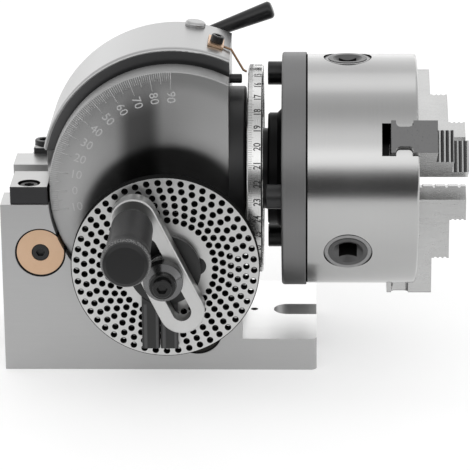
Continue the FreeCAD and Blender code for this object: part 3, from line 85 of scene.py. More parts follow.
class Finish:
    """A procedural finish on the Principled shader; add() makes any node and returns its socket."""

    def __init__(self, name, **constants):
        self.material = bpy.data.materials.new(name)
        self.material.use_nodes = True
        self.tree = self.material.node_tree
        self.shader = self.tree.nodes["Principled BSDF"]
        for socket, value in constants.items():
            self.shader.inputs[socket.replace("_", " ")].default_value = value
        self.place = self.add("TexCoord", out="Object")
        self.x, self.y, self.z = (self.add("SeparateXYZ", {}, {0: self.place}, out=k) for k in range(3))

    def add(self, kind, settings=None, inputs=None, out=0):
        """Makes a node with its settings and inputs, which may be values of other nodes."""
        made = self.tree.nodes.new("ShaderNode" + kind)
        for name, value in (settings or {}).items():
            setattr(made, name, value)
        for key, value in (inputs or {}).items():
            if isinstance(value, Value):
                self.tree.links.new(value.socket, made.inputs[key])
            else:
                made.inputs[key].default_value = value
        return Value(self, made.outputs[out])

    def feed(self, **sockets):
        """Links values to the shader's sockets, named with underscores for spaces."""
        for name, value in sockets.items():
            self.tree.links.new(value.socket, self.shader.inputs[name.replace("_", " ")])

    def noise(self, scale, stretch=(1, 1, 1), detail=4.0, rough=0.55):
        """Noise from 0 to 1 whose cells are stretched along the axes."""
        spread = self.add("VectorMath", {"operation": "MULTIPLY"}, {0: self.place, 1: stretch})
        return self.add("TexNoise", {}, {"Vector": spread, "Scale": scale, "Detail": detail,
                                         "Roughness": rough})

    def blend(self, mask, low, high):
        """Colour between two colours, by a mask from 0 to 1."""
        ends = {k: v if isinstance(v, Value) else (*v, 1.0) for k, v in ((6, low), (7, high))}
        return self.add("Mix", {"data_type": "RGBA"}, {0: mask, **ends}, out=2)

    def turning(self, across, scale, detail=3.0, rough=0.5):
        """Noise from 0 to 1 in the rings or lines that a lathe leaves, along one measure."""
        return self.add("TexNoise", {"noise_dimensions": "1D"},
                        {"W": across, "Scale": scale, "Detail": detail, "Roughness": rough})

    def facing(self, axis):
        """One component of the surface's normal: 0, 1 or 2 for x, y or z."""
        return self.add("SeparateXYZ", {}, {0: self.add("TexCoord", out="Normal")}, out=axis)

    def radius(self, across, up):
        """Distance from an axis, from the two offsets square to it."""
        return (across * across + up * up).math("SQRT")

    def across_jaw(self, turn):
        """Offset of a point along and square to a direction that a jaw or pinion points in."""
        a = math.radians(turn)
        along = self.y * -math.cos(a) + (self.z - swivel_z) * math.sin(a)
        return along, self.y * math.sin(a) + (self.z - swivel_z) * math.cos(a)

    def hollows(self, mask, depth_colour=0.004):
        """Paints the surface dead black where the mask is 1: painted shade, as in deep unlit holes."""
        dark = self.tree.nodes.new("ShaderNodeBsdfDiffuse")
        dark.inputs["Color"].default_value = (depth_colour, depth_colour, depth_colour, 1.0)
        mix = self.tree.nodes.new("ShaderNodeMixShader")
        self.tree.links.new(mask.socket, mix.inputs[0])
        self.tree.links.new(self.shader.outputs[0], mix.inputs[1])
        self.tree.links.new(dark.outputs[0], mix.inputs[2])
        self.tree.links.new(mix.outputs[0], self.tree.nodes["Material Output"].inputs["Surface"])

    def relief(self, height, depth, edge=0.0):
        """Normal of a surface whose height varies from 0 to 1 over a depth in metres."""
        inputs = {"Strength": 1.0, "Distance": depth, "Height": height}
        if edge:
            inputs["Normal"] = self.add("Bevel", {"samples": 4}, {"Radius": edge})
        self.feed(Normal=self.add("Bump", {}, inputs))


def dress(finish, *names):
    """Gives CAD nodes a finish."""
    for name in names:
        node[name].data.materials.clear()
        node[name].data.materials.append(finish.material)


cotter_circle, cotter_turns = 0.07833, (205.0, 279.5)
cotter_r, front_y, swivel_z = 0.0127, -0.0462, 0.1
worm_x, worm_z, plate_r = -0.0029, 0.0664, 0.050
shade_z = worm_z - 0.006


def cotter_distance(finish):
    """Distance from the nearest cotter's axis."""
    nearest = None
    for turn in cotter_turns:
        a = math.radians(turn)
        distance = finish.radius(finish.x - cotter_circle * math.cos(a),
                                 finish.z - (swivel_z + cotter_circle * math.sin(a)))
        nearest = distance if nearest is None else nearest.math("MINIMUM", distance)
    return nearest


iron = Finish("milled_iron", Metallic=1.0)
cloud = iron.noise(14.0, (1, 1, 1), 5.0)
marks = iron.noise(260.0, (0.12, 1, 3.2), 5.0, 0.65)
ground = iron.facing(2).within(0.95, 1.2, 0.04)
cotter_holes = (cotter_distance(iron).within(0.0, cotter_r + 9e-4, 5e-5)
                * iron.y.within(front_y + 1e-4, 0.0, 5e-5))
milled = iron.blend(cloud * 0.7 + marks * 0.3, (0.385, 0.385, 0.387), (0.50, 0.50, 0.498))
# Up-facing ground faces are lighter iron; the low ledge top is painted much lighter still, a painted
# highlight.
ground_iron_and_lit_ledge = iron.blend(iron.z.within(-0.01, 0.03, 0.01), (0.50, 0.50, 0.498), (0.84, 0.84, 0.838))
shaded_iron = iron.radius(iron.x - worm_x, iron.z - shade_z).within(0.0, 0.044, 0.003)
shaded_iron = shaded_iron * iron.y.within(-1.0, front_y + 1e-4, 1e-4)
milled = iron.blend(shaded_iron, milled, (0.05, 0.05, 0.05))
iron.feed(Base_Color=iron.blend(ground, milled, ground_iron_and_lit_ledge),
          Roughness=0.26 + cloud * 0.10 + marks * 0.10 - ground * 0.04)
iron.relief(marks * 0.6 + cloud * 0.4, 2.2e-5, edge=3.5e-4)
# The gaps round the cotters' bushes are painted near black, a painted shade.
iron.hollows(cotter_holes, 0.02)
dress(iron, "base_casting")

# Clamp blocks and their socket screws: blackened blocks with ground tops that keep the head in
# its cradle, each held by one black screw from above.

block = Finish("ground_block", Metallic=1.0)
fine = block.noise(420.0, (0.1, 1, 1.6), 4.0)
tone = block.noise(20.0)
block_top = block.facing(2).within(0.6, 1.2, 0.2)
block.feed(Base_Color=block.blend(block_top, block.blend(tone, (0.035, 0.035, 0.036), (0.06, 0.06, 0.062)),
                                  (0.47, 0.47, 0.466)),
           Roughness=0.26 + fine * 0.14)
block.relief(fine, 1.5e-5, edge=4e-4)
dress(block, "front_clamp_block", "rear_clamp_block")

black = Finish("black_oxide", Metallic=0.0, IOR=1.45)
speck = black.noise(900.0, (1, 1, 1), 3.0)
smear = black.noise(60.0, (1, 1, 1), 4.0)
black.feed(Base_Color=black.blend(smear, (0.006, 0.006, 0.0065), (0.016, 0.016, 0.017)),
           Roughness=0.28 + smear * 0.16)
black.relief(speck, 8e-6, edge=3e-4)
dress(black, "clamp_screws", "cap_screws", "sleeve_lock_screws", "rear_cover_screws",
      "plate_screws", "ring_nuts", "cotter_screws")

# Swivel cotters: brass bushes with turned faces, drawn against the rim by black screws. The one
# under the index plate is painted near black, a painted shade of the plate.

brass = Finish("turned_brass", Metallic=1.0)
lathe = brass.turning(cotter_distance(brass), 2600.0)
tarnish = brass.noise(90.0)
# The cotter under the index plate: painted shade, near black.
plate_shade_on_cotter = brass.x.within(0.0, 0.026, 0.005) * brass.z.within(0.0, 0.05, 0.005)
clean_brass = brass.blend(tarnish, (0.60, 0.40, 0.26), (0.72, 0.51, 0.36))
brass.feed(Base_Color=brass.blend(plate_shade_on_cotter, clean_brass, (0.030, 0.028, 0.026)),
           Roughness=0.26 + lathe * 0.2 + tarnish * 0.08)
brass.relief(lathe, 1.2e-5, edge=2e-4)
dress(brass, "swivel_cotters")

# Bushes and worm wheel: bearing bronze, bored and faced. The bushes are pressed into the head and
# the sleeve, and the wheel is keyed to the spindle.

bronze = Finish("bearing_bronze", Metallic=1.0)
drawn = bronze.noise(120.0, (0.3, 1, 1))
bronze.feed(Base_Color=bronze.blend(drawn, (0.48, 0.30, 0.15), (0.62, 0.42, 0.22)),
            Roughness=0.28 + drawn * 0.2)
bronze.relief(drawn, 1e-5)
dress(bronze, "front_bush", "rear_bush", "worm_bush", "worm_wheel")

# Swivel head: iron drum with a turned, graduated face. The groove behind the face is dark cast
# skin with painted shade deepening it, and the rim and body are turned bright. The face carries a
# painted dark reflection down its left half, painted shadow and reflection of the index plate,
# and painted highlights on its inner and right parts; the rim's cylinder has painted shade.

face_y, rim_r, shoulder_r = -0.0405, 0.0661, 0.0704
groove_y, body_y = -0.0255, -0.0160
drum = Finish("turned_drum", Metallic=1.0)
from_axis = drum.radius(drum.x, drum.z - swivel_z)
turned = drum.turning(from_axis, 1500.0, 4.0, 0.7)
skin = drum.noise(22.0, (1, 1, 1), 6.0)
dust = drum.noise(700.0, (1, 1, 1), 3.0)
in_groove = drum.y.within(groove_y + 1e-4, body_y + 2e-5, 5e-5) * from_axis.within(0.0, shoulder_r, 3e-5)
on_disc = drum.y.within(-1.0, face_y + 2e-5, 2e-5)
# A painted dark reflection down the face's left half, in place of the turned face's sheen.
dark_reflection_streak = drum.x.within(-0.0215, -0.0125, 0.0095) * from_axis.within(0.0, 0.044, 0.018) * on_disc
# Painted shadow and reflection of the index plate on the face near it, and painted shadow behind it.
from_worm = drum.radius(drum.x - worm_x, drum.z - (worm_z + 0.0135))
plate_shadow_and_reflection = from_worm.within(0.0, plate_r - 0.0080, 0.006) * on_disc
shadow_behind_plate = drum.radius(drum.x - worm_x, drum.z - shade_z).within(0.0, 0.045, 0.003) * on_disc
# Painted highlights: the inner face, and more its right half, are lightened for the light there.
lit_inner_face = from_axis.within(0.0, 0.054, 0.008) * on_disc
lit_right_half = drum.x.within(-0.004, 1.0, 0.006) * on_disc
# The rim's cylinder is painted darker, more on its right part: a painted shade.
shaded_rim_band = (drum.y.within(face_y + 6e-4, groove_y, 5e-5)
               * from_axis.within(rim_r - 3e-4, rim_r + 1e-3, 5e-5))
shade = ((1.0 - dark_reflection_streak * 0.62) * (1.0 - plate_shadow_and_reflection * 0.72) * (1.0 - on_disc * 0.08)
         * (1.0 + lit_inner_face * 0.12) * (1.0 + lit_inner_face * lit_right_half * 0.16)
         * (1.0 - shadow_behind_plate * 0.8)
         * (1.0 - shaded_rim_band * (0.20 + drum.x.within(-0.032, 1.0, 0.02) * 0.28)))
bright = drum.blend(skin * 0.7 + turned * 0.3, (0.36, 0.36, 0.362), (0.46, 0.46, 0.458))
shaded = drum.add("VectorMath", {"operation": "SCALE"}, {0: bright, "Scale": shade})
# The groove wall: dark cast skin, painted darker below its outer edge, a painted shade in the recess.
groove_skin_and_shade = drum.blend(skin, (0.035, 0.035, 0.036), (0.085, 0.085, 0.087))
groove_skin_and_shade = drum.blend(from_axis.within(0.0668, 0.1, 0.002), groove_skin_and_shade, (0.15, 0.15, 0.152))
drum.feed(Base_Color=drum.blend(in_groove, shaded, groove_skin_and_shade),
          Roughness=0.22 + turned * 0.10 + skin * 0.10 + in_groove * 0.22)
drum.relief(turned * 0.6 + dust * 0.25 + skin * 0.15, 1.6e-5, edge=3.5e-4)
dress(drum, "swivel_head")


def put(name, mesh, finish, body):
    """Places a mesh as a piece with its finish, riding on its body in its material slot."""
    mesh.materials.clear()
    mesh.materials.append(finish.material)
    piece = bpy.data.objects.new(name, mesh)
    bpy.context.scene.collection.objects.link(piece)
    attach(piece, body)


def mesh_piece(name, points, faces, finish, body):
    """Makes a piece from numpy points and faces, with its finish, body and material slot."""
    mesh = bpy.data.meshes.new(name)
    faces = np.asarray(faces, np.int32)
    mesh.vertices.add(len(points))
    mesh.vertices.foreach_set("co", np.asarray(points, np.float32).ravel())
    mesh.loops.add(faces.size)
    mesh.loops.foreach_set("vertex_index", faces.ravel())
    mesh.polygons.add(len(faces))
    mesh.polygons.foreach_set("loop_start", np.arange(len(faces), dtype=np.int32) * faces.shape[1])
    mesh.update(calc_edges=True)
    mesh.validate()
    put(name, mesh, finish, body)


def bars(starts, ends, widths, out_of_face, height):
    """Flat bars from start to end points: each is a box with its width square to its length
    and to the outward direction, standing the given height out of the face."""
    along = ends - starts
    side = np.cross(along, out_of_face)
    side *= (widths / 2 / np.linalg.norm(side, axis=1))[:, None]
    lift = out_of_face * height
    low = -out_of_face * height
    corners = np.stack([starts - side + low, starts + side + low, ends + side + low, ends - side + low,
                        starts - side + lift, starts + side + lift, ends + side + lift,
                        ends - side + lift], axis=1)
    quads = np.array([[0, 1, 2, 3], [4, 7, 6, 5], [0, 4, 5, 1], [1, 5, 6, 2], [2, 6, 7, 3], [3, 7, 4, 0]])
    faces = (np.arange(len(starts))[:, None, None] * 8 + quads).reshape(-1, 4)
    return corners.reshape(-1, 3), faces


def outward(points, faces):
    """Turns closed pieces' faces to point outwards, by the sign of the signed volume."""
    a, b, c = (points[faces[:, k]] for k in (0, 1, 2))
    d = points[faces[:, 3]]
    volume = (np.einsum("ij,ij->i", a, np.cross(b, c)) + np.einsum("ij,ij->i", a, np.cross(c, d))).sum()
    return faces[:, ::-1] if volume < 0 else faces


# Graduations of the drum's face: one degree, five degree and ten degree lines from 10 degrees
# below level to upright, cut in from the rim, with the tens stamped inside them.

scale_r = 0.0656
line_lengths = {1: 0.0044, 5: 0.0062, 10: 0.0095}
degrees = np.arange(-10, 91)
longest = np.where(degrees % 10 == 0, line_lengths[10], np.where(degrees % 5 == 0, line_lengths[5],
                                                               line_lengths[1]))
angle = np.radians(180.0 - degrees)
ray = np.stack([np.cos(angle), 0 * angle, np.sin(angle)], axis=1)
centre = np.array([0.0, face_y, swivel_z])
out = np.tile([0.0, -1.0, 0.0], (len(degrees), 1))
widths = np.where(degrees % 5 == 0, 0.00034, 0.00026)
points, faces = bars(centre + ray * scale_r, centre + ray * (scale_r - longest[:, None]), widths, out, 3e-5)
engraved = Finish("engraved_line", Metallic=0.2)
pits = engraved.noise(1500.0)
engraved.feed(Base_Color=engraved.blend(pits, (0.42, 0.42, 0.42), (0.66, 0.66, 0.66)),
              Roughness=0.5 + pits * 0.2)
engraved.relief(pits, 1e-5)
mesh_piece("drum_graduations", points, outward(points, faces), engraved, "head")


def numeral(text, size, at, right, up, thickness=3e-5, weight=0.0):
    """Mesh of a number: flat glyphs centred at a point, with their own right and up directions,
    given a small thickness along the direction that they face. A longer up stretches them."""
    curve = bpy.data.curves.new("numeral", "FONT")
    curve.body, curve.size, curve.align_x, curve.align_y = text, size, "CENTER", "CENTER"
    curve.extrude, curve.resolution_u, curve.offset = thickness, 3, weight
    holder = bpy.data.objects.new("numeral", curve)
    bpy.context.scene.collection.objects.link(holder)
    bpy.context.view_layer.update()
    mesh = bpy.data.meshes.new_from_object(holder.evaluated_get(bpy.context.evaluated_depsgraph_get()))
    bpy.data.objects.remove(holder)
    right, up, at = Vector(right), Vector(up), Vector(at)
    facing = right.cross(up)
    turn = Matrix((right, up, facing)).transposed().to_4x4()
    mesh.transform(Matrix.Translation(at) @ turn)
    return mesh


def join_meshes(name, meshes, finish, body):
    """One piece from several meshes."""
    joined = bmesh.new()
    for mesh in meshes:
        joined.from_mesh(mesh)
        bpy.data.meshes.remove(mesh)
    mesh = bpy.data.meshes.new(name)
    joined.to_mesh(mesh)
    joined.free()
    put(name, mesh, finish, body)


numeral_r, numeral_size = 0.0520, 0.0066
labels = []
for tens in range(-10, 91, 10):
    a = math.radians(180.0 - tens)
    inward = (-math.cos(a), 0.0, -math.sin(a))
    spot = (numeral_r * math.cos(a), face_y, swivel_z + numeral_r * math.sin(a))
    glyph_up = Vector((0.0, -1.0, 0.0)).cross(Vector(inward))
    labels.append(numeral(str(abs(tens)), numeral_size, spot, inward, glyph_up))
join_meshes("drum_numerals", labels, engraved, "head")

# Front bearing flange and spindle: black steel, turned on the rim. Four screws hold the flange to
# the head, and the spindle runs out through it to the backplate.

flange = Finish("blackened_flange", Metallic=0.0, IOR=1.45)
groove_rings = flange.turning(flange.x, 1800.0)
patch = flange.noise(35.0)
flange.feed(Base_Color=flange.blend(patch, (0.006, 0.006, 0.0065), (0.018, 0.018, 0.019)),
            Roughness=0.34 + groove_rings * 0.14)
flange.relief(groove_rings, 1e-5, edge=3e-4)
dress(flange, "front_bearing_cap", "spindle")

# Worm sleeve, index plate and covers: steel, turned and then ground. The plate is the pale one,
# its holes reamed through. Only its front face shows the steel: its hole mouths and walls, its rim
# and its back are painted dead black, a painted shade.

plate_y = -0.068
plate = Finish("ground_plate", Metallic=1.0)
from_hub = plate.radius(plate.x - worm_x, plate.z - worm_z)
plate_rings = plate.turning(from_hub, 1300.0, 4.0, 0.7)
plate_tone = plate.noise(30.0)
plate_turn = plate.add("Math", {"operation": "ARCTAN2"}, {0: plate.z - worm_z, 1: plate.x - worm_x})
hole_circles = ((26.5, 37, -0.72), (30.6, 39, -3.97), (34.7, 41, 1.89), (38.8, 43, -1.16),
                (42.9, 47, 1.16), (47.0, 49, -1.52))
mouth_r, nearest_hole = 0.00172, None
for circle_mm, count, first in hole_circles:
    step = 2 * math.pi / count
    steps_round = (plate_turn - math.radians(first)) / step
    beside = (steps_round - steps_round.math("ROUND")) * (step * circle_mm / 1000)
    off_centre = plate.radius(from_hub - circle_mm / 1000, beside)
    nearest_hole = off_centre if nearest_hole is None else nearest_hole.math("MINIMUM", off_centre)
on_face = (plate.y.within(plate_y - 1e-3, plate_y + 3e-5, 2e-5)
           * from_hub.within(0.0, plate_r - 4e-4, 5e-5)
           * (1.0 - nearest_hole.within(0.0, mouth_r, 8e-5)))
plate.feed(Base_Color=plate.blend(plate_tone * 0.5 + plate_rings * 0.5, (0.52, 0.52, 0.515),
                                  (0.66, 0.66, 0.655)),
           Roughness=0.30 + plate_rings * 0.12 + plate_tone * 0.06)
plate.relief(plate_rings, 1.2e-5)
# Everything but the open front face is painted dead black, a painted shade.
plate.hollows(1.0 - on_face, 0.012)
dress(plate, "index_plate")

steel = Finish("turned_steel", Metallic=1.0)
hair = steel.noise(380.0, (0.5, 0.5, 0.5), 5.0, 0.7)
wide = steel.noise(25.0)
steel.feed(Base_Color=steel.blend(wide, (0.46, 0.46, 0.455), (0.60, 0.60, 0.595)),
           Roughness=0.20 + hair * 0.14)
steel.relief(hair, 8e-6, edge=2e-4)
dress(steel, "worm_sleeve", "rear_cover", "wheel_key", "thrust_washer",
      "chuck_cover", "worm_shaft", "plunger_spring", "index_pin")
dress(drum, "oil_plug")

# Sector arms: blackened steel arms that set off the holes to be counted, held to the index plate
# by a spring ring. Their long edges carry painted highlights.

arms = Finish("blackened_arm", Metallic=0.0, IOR=1.5)
rub = arms.noise(45.0, (1, 1, 0.4))
arm_hair = arms.noise(500.0, (1, 1, 0.15))
# Painted highlights along the arms' long edges.
arm_edge_highlight = None
for bar_x in (worm_x - 0.0079, worm_x + 0.0019):
    from_bar = arms.x - bar_x
    edges = from_bar.within(-0.0032, -0.0024, 8e-4) + from_bar.within(0.0030, 0.0036, 6e-4)
    arm_edge_highlight = edges if arm_edge_highlight is None else arm_edge_highlight.math("MAXIMUM", edges)
arm_edge_highlight = arm_edge_highlight * arms.z.within(0.0, worm_z - 0.0195, 0.001)
arm_black = arms.blend(rub, (0.003, 0.003, 0.0031), (0.010, 0.010, 0.0103))
arms.feed(Base_Color=arms.blend(arm_edge_highlight, arm_black, (0.055, 0.055, 0.056)),
          Roughness=0.22 + arm_hair * 0.2)
arms.relief(arm_hair, 1e-5, edge=4e-4)
dress(arms, "sector_arm_rear", "sector_arm_front", "spring_ring")

# Crank: bright slotted arm, ground on its faces along its length, with a socket screw in the worm
# shaft's end and a black clamp nut whose cone flank is coloured bright metal, a painted highlight.

pin_circle_first, pin_circle_count, pin_hole = 1.89, 41, 13
crank_tilt = math.radians(pin_circle_first + 360.0 / pin_circle_count * pin_hole)
crank = Finish("ground_crank", Metallic=1.0)
lengthwise = crank.x * math.cos(crank_tilt) + crank.z * math.sin(crank_tilt)
across = crank.x * -math.sin(crank_tilt) + crank.z * math.cos(crank_tilt)
scratch = crank.add("CombineXYZ", {}, {0: lengthwise * 60.0, 1: crank.y * 900.0, 2: across * 900.0})
scratches = crank.add("TexNoise", {}, {"Vector": scratch, "Scale": 1.0, "Detail": 4.0})
crank_tone = crank.noise(40.0)
crank.feed(Base_Color=crank.blend(crank_tone, (0.47, 0.47, 0.465), (0.62, 0.62, 0.615)),
           Roughness=0.24 + scratches * 0.16)
crank.relief(scratches, 1e-5, edge=5e-4)
dress(crank, "crank_arm")

nut = Finish("blackened_nut", IOR=1.4)
nut_r = nut.radius(nut.x - worm_x, nut.z - worm_z)
nut_rings = nut.turning(nut_r + nut.y, 2400.0)
# The nut's cone flank, coloured bright metal: a painted highlight.
flank_highlight = nut_r.within(0.0073, 0.0102, 1e-4) * nut.y.within(-0.0948, -0.0909, 1e-4)
nut_black = nut.blend(nut_rings, (0.003, 0.003, 0.0031), (0.011, 0.011, 0.0112))
nut.feed(Base_Color=nut.blend(flank_highlight, nut_black, (0.15, 0.15, 0.152)), Metallic=flank_highlight * 0.95,
         Roughness=0.15 + nut_rings * 0.12)
nut.relief(nut_rings, 1.2e-5, edge=3e-4)
dress(nut, "crank_nut", "crank_screw", "plunger_sleeve")

# Grip: dark moulded barrel on the index pin, satin all over. Its end face has faint mould rings,
# and the edge round that face carries pale painted glints.

crank_throw = 0.0347
grip_x = worm_x + crank_throw * math.cos(crank_tilt)
grip_z = worm_z + crank_throw * math.sin(crank_tilt)
grip = Finish("satin_grip", Metallic=0.0, IOR=1.4)
grip_r = grip.radius(grip.x - grip_x, grip.z - grip_z)
end_rings = grip.turning(grip_r, 900.0, 2.0)
pebble = grip.noise(2200.0, (1, 1, 1), 2.0)
haze = grip.noise(50.0)
grip_end_y, grip_face_r = -0.1526, 0.0096
# Pale speckled ring round the end face: painted glints.
rim_glints = (grip_r.within(grip_face_r + 5e-4, 0.0140, 3e-4) * pebble.within(0.54, 1.0, 0.1)
        * grip.y.within(grip_end_y + 0.0024, grip_end_y + 0.0040, 5e-4))
moulded = grip.blend(haze, (0.006, 0.006, 0.0065), (0.014, 0.014, 0.0145))
grip.feed(Base_Color=grip.blend(rim_glints, moulded, (0.17, 0.17, 0.17)),
          Roughness=0.30 + haze * 0.12 + pebble * 0.12)
grip.relief(pebble * 0.6 + end_rings * 0.4, 3.5e-5, edge=3e-4)
dress(grip, "grip")

# Dial ring on the spindle: satin chromed rim with black-filled degree lines from its left edge
# and the tens of degrees as numbers 1 to 36, read from below.

dial_left_x, dial_r = 0.0402, 0.0566
dial = Finish("satin_dial", Metallic=1.0)
dial_hair = dial.noise(900.0, (1, 0.15, 0.15), 3.0)
dial_rings = dial.turning(dial.x, 2600.0)
dial_wide = dial.noise(40.0)
dial.feed(Base_Color=dial.blend(dial_wide, (0.52, 0.52, 0.515), (0.68, 0.68, 0.675)),
          Roughness=0.17 + dial_rings * 0.10 + dial_hair * 0.06)
dial.relief(dial_rings * 0.7 + dial_hair * 0.3, 1e-5)
dress(dial, "dial_ring")

filled = Finish("black_filling", Metallic=0.0)
filled_pits = filled.noise(2500.0)
filled.feed(Base_Color=filled.blend(filled_pits, (0.004, 0.004, 0.004), (0.012, 0.012, 0.012)),
            Roughness=0.42 + filled_pits * 0.2)
every = np.arange(360)
dial_zero = 22.9
around = np.radians(-(every / 10.0 - dial_zero) * 10.0)
normal = np.stack([0 * around, -np.cos(around), np.sin(around)], axis=1)
surface = np.array([0.0, 0.0, swivel_z]) + normal * dial_r
lengths = np.where(every % 10 == 0, 0.0036, np.where(every % 5 == 0, 0.0028, 0.0020))
begin = surface + np.array([dial_left_x + 6e-4, 0, 0])
finish_at = begin + np.stack([lengths, 0 * lengths, 0 * lengths], axis=1)
points, faces = bars(begin, finish_at, np.full(360, 0.00016), normal, 2.5e-5)
mesh_piece("dial_graduations", points, outward(points, faces), filled, "spindle_group")
dial_numeral_in, dial_numeral_size, dial_stretch = 0.0055, 0.0044, 1.22
labels = []
for tens in range(1, 37):
    a = math.radians(-(tens - dial_zero) * 10.0)
    spot = (dial_left_x + dial_numeral_in, -dial_r * math.cos(a), swivel_z + dial_r * math.sin(a))
    climb = (0.0, math.sin(a), math.cos(a))
    labels.append(numeral(str(tens), dial_numeral_size, spot, climb, (-dial_stretch, 0.0, 0.0),
                          weight=5e-5))
join_meshes("dial_numerals", labels, filled, "spindle_group")

# Lock lever: black turned hub and tapered handle behind the drum. The same oxide finish is on the
# plunger that it works, on the chuck's scroll and on the screws of the pointer and the chuck.

dress(black, "lever_shaft", "lever_handle", "pointer_screw", "chuck_screws", "direct_plunger",
      "chuck_scroll")

# Pointer: brass plate screwed to the drum, with a bent wire of darkened brass that reaches down
# to the dial ring's edge.

dress(brass, "pointer_plate")

wire = Finish("annealed_wire", Metallic=1.0)
heat = wire.noise(300.0)
wire.feed(Base_Color=wire.blend(heat, (0.17, 0.10, 0.06), (0.34, 0.22, 0.14)), Roughness=0.35 + heat * 0.2)
wire.relief(heat, 1e-5)
dress(wire, "pointer_wire")

# Backplate: cast iron flange on the spindle that carries the chuck. It is black all over but for
# its turned rim.

rim = Finish("backplate_iron", IOR=1.3)
rim_from_axis = rim.radius(rim.y, rim.z - swivel_z)
rim_rings = rim.turning(rim.x, 1200.0, 4.0)
rim_tone = rim.noise(30.0)
on_rim = rim_from_axis.within(0.061, 0.07, 5e-4)
rim_iron = rim.blend(rim_tone * 0.5 + rim_rings * 0.5, (0.17, 0.17, 0.172), (0.23, 0.23, 0.23))
rim.feed(Base_Color=rim.blend(on_rim, (0.006, 0.006, 0.0065), rim_iron),
         Roughness=0.42 + rim_rings * 0.12, Metallic=0.1 + on_rim * 0.85)
rim.relief(rim_rings * 0.6 + rim_tone * 0.4, 1.4e-5)
# A thin band at the rim's edge next to the chuck is painted dead black, a painted shadow line.
rim.hollows(rim.x.within(0.0713, 1.0, 1e-4))
dress(rim, "backplate")

# Chuck: ground steel body, held to the backplate by three screws, with three hardened jaws that
# slide in slots across its face. Its inside and a ring round each pinion seat are painted dead
# black, a painted shade. The jaws' grips carry painted bright and dark bands, painted highlights
# and shade of their grooves, and their teeth in the slots are painted near black, a painted shade.

chuck = Finish("ground_chuck", Metallic=1.0)
chuck_rings = chuck.turning(chuck.x, 1700.0, 4.0)
chuck_hair = chuck.noise(800.0, (0.15, 1, 1), 3.0)
chuck_tone = chuck.noise(18.0)
chuck.feed(Base_Color=chuck.blend(chuck_tone * 0.6 + chuck_rings * 0.4, (0.40, 0.40, 0.398),
                                  (0.50, 0.50, 0.497)),
           Roughness=0.15 + chuck_rings * 0.09 + chuck_tone * 0.05)
chuck.relief(chuck_rings * 0.7 + chuck_hair * 0.3, 8e-6)
chuck_outer_r, chuck_face_x = 0.0625, 0.1309
pinion_x, pinion_turns, seat_r = 0.0937, (-28.4, 91.6, 211.6), 0.0127


def pinion_places(finish):
    """Distances from the nearest pinion's axis: round, and along the square of its key hole."""
    near = square = None
    for turn in pinion_turns:
        along, beside = finish.across_jaw(turn)
        elsewhere = 1.0 - along.within(0.02, 1.0, 1e-3)
        distance = finish.radius(finish.x - pinion_x, beside) + elsewhere
        side = (finish.x - pinion_x).math("ABSOLUTE").math("MAXIMUM", beside.math("ABSOLUTE")) + elsewhere
        near = distance if near is None else near.math("MINIMUM", distance)
        square = side if square is None else square.math("MINIMUM", side)
    return near, square


# The inside of the body and a thin ring round each pinion seat: painted shade, dead black.
inside = (chuck.radius(chuck.y, chuck.z - swivel_z).within(0.0, chuck_outer_r - 6e-4, 1e-4)
          * chuck.x.within(0.0, chuck_face_x - 8e-4, 1e-4))
seat_shadow_line = pinion_places(chuck)[0].within(0.0, seat_r + 2.5e-4, 5e-5)
chuck.hollows(inside.math("MAXIMUM", seat_shadow_line))
dress(chuck, "chuck_body")

jaw = Finish("ground_jaw", Metallic=1.0)
jaw_hair = jaw.noise(700.0, (0.2, 1, 1), 4.0)
jaw_tone = jaw.noise(35.0)
jaw_turns, jaw_end_r = (31.6, 151.6, 271.6), 0.0685
jaw_normal = jaw.facing(1), jaw.facing(2)
reach = grips = None
for turn in jaw_turns:
    a = math.radians(turn)
    along, beside = jaw.across_jaw(turn)
    facing_out = (jaw_normal[0] * -math.cos(a) + jaw_normal[1] * math.sin(a)).within(0.5, 1.1, 0.2)
    grip_face = facing_out * along.within(0.012, 1.0, 0.001) * beside.within(-0.0095, 0.0095, 1e-4)
    reach = along if reach is None else reach.math("MAXIMUM", along)
    grips = grip_face if grips is None else grips.math("MAXIMUM", grip_face)
jaw_end = reach.within(jaw_end_r - 2e-4, 1.0, 1e-4)
jaw_speck = jaw.noise(1100.0, (1, 1, 1), 5.0, 0.75)
jaw_steel = jaw.blend(jaw_tone * 0.6 + jaw_speck * 0.4, (0.40, 0.40, 0.398), (0.60, 0.60, 0.597))
jaw_dark = jaw.blend(jaw_speck.within(0.42, 1.0, 0.14), (0.045, 0.045, 0.0455), (0.16, 0.16, 0.161))
# Painted highlights and shade of the grip grooves, as bright and dark bands.
groove_glint_bands = (jaw.x * 2400.0).math("SINE") * 0.5 + 0.5
jaw_grip_glints = jaw.blend(groove_glint_bands.within(0.72, 1.0, 0.3), (0.045, 0.045, 0.0455), (0.42, 0.42, 0.418))
# The teeth inside the slots, painted near black: a painted shade.
shaded_teeth = jaw.x.within(0.0, 0.1156, 1e-4)
jaw_skin = jaw.blend(grips, jaw_steel, jaw_grip_glints)
jaw_skin = jaw.blend(jaw_end, jaw_skin, jaw_dark)
jaw.feed(Base_Color=jaw.blend(shaded_teeth, jaw_skin, (0.01, 0.01, 0.01)),
         Roughness=0.20 + jaw_hair * 0.12 + jaw_end * 0.14)
jaw.relief(jaw_hair, 8e-6, edge=4e-4)
dress(jaw, "chuck_jaw_1", "chuck_jaw_2", "chuck_jaw_3")

# Pinions: dark turned heads, each with a square key hole painted dead black inside, a painted
# shade. They sit in steel rings pressed into the side of the chuck.

pinion = Finish("turned_pinion", Metallic=0.9)
from_pin, key_side = pinion_places(pinion)
pinion_rings = pinion.turning(from_pin, 2500.0)
pinion_shade = pinion.noise(80.0)
pinion.feed(Base_Color=pinion.blend(pinion_shade, (0.07, 0.07, 0.071), (0.13, 0.13, 0.131)),
            Roughness=0.26 + pinion_rings * 0.2)
pinion.relief(pinion_rings, 1.5e-5, edge=2e-4)
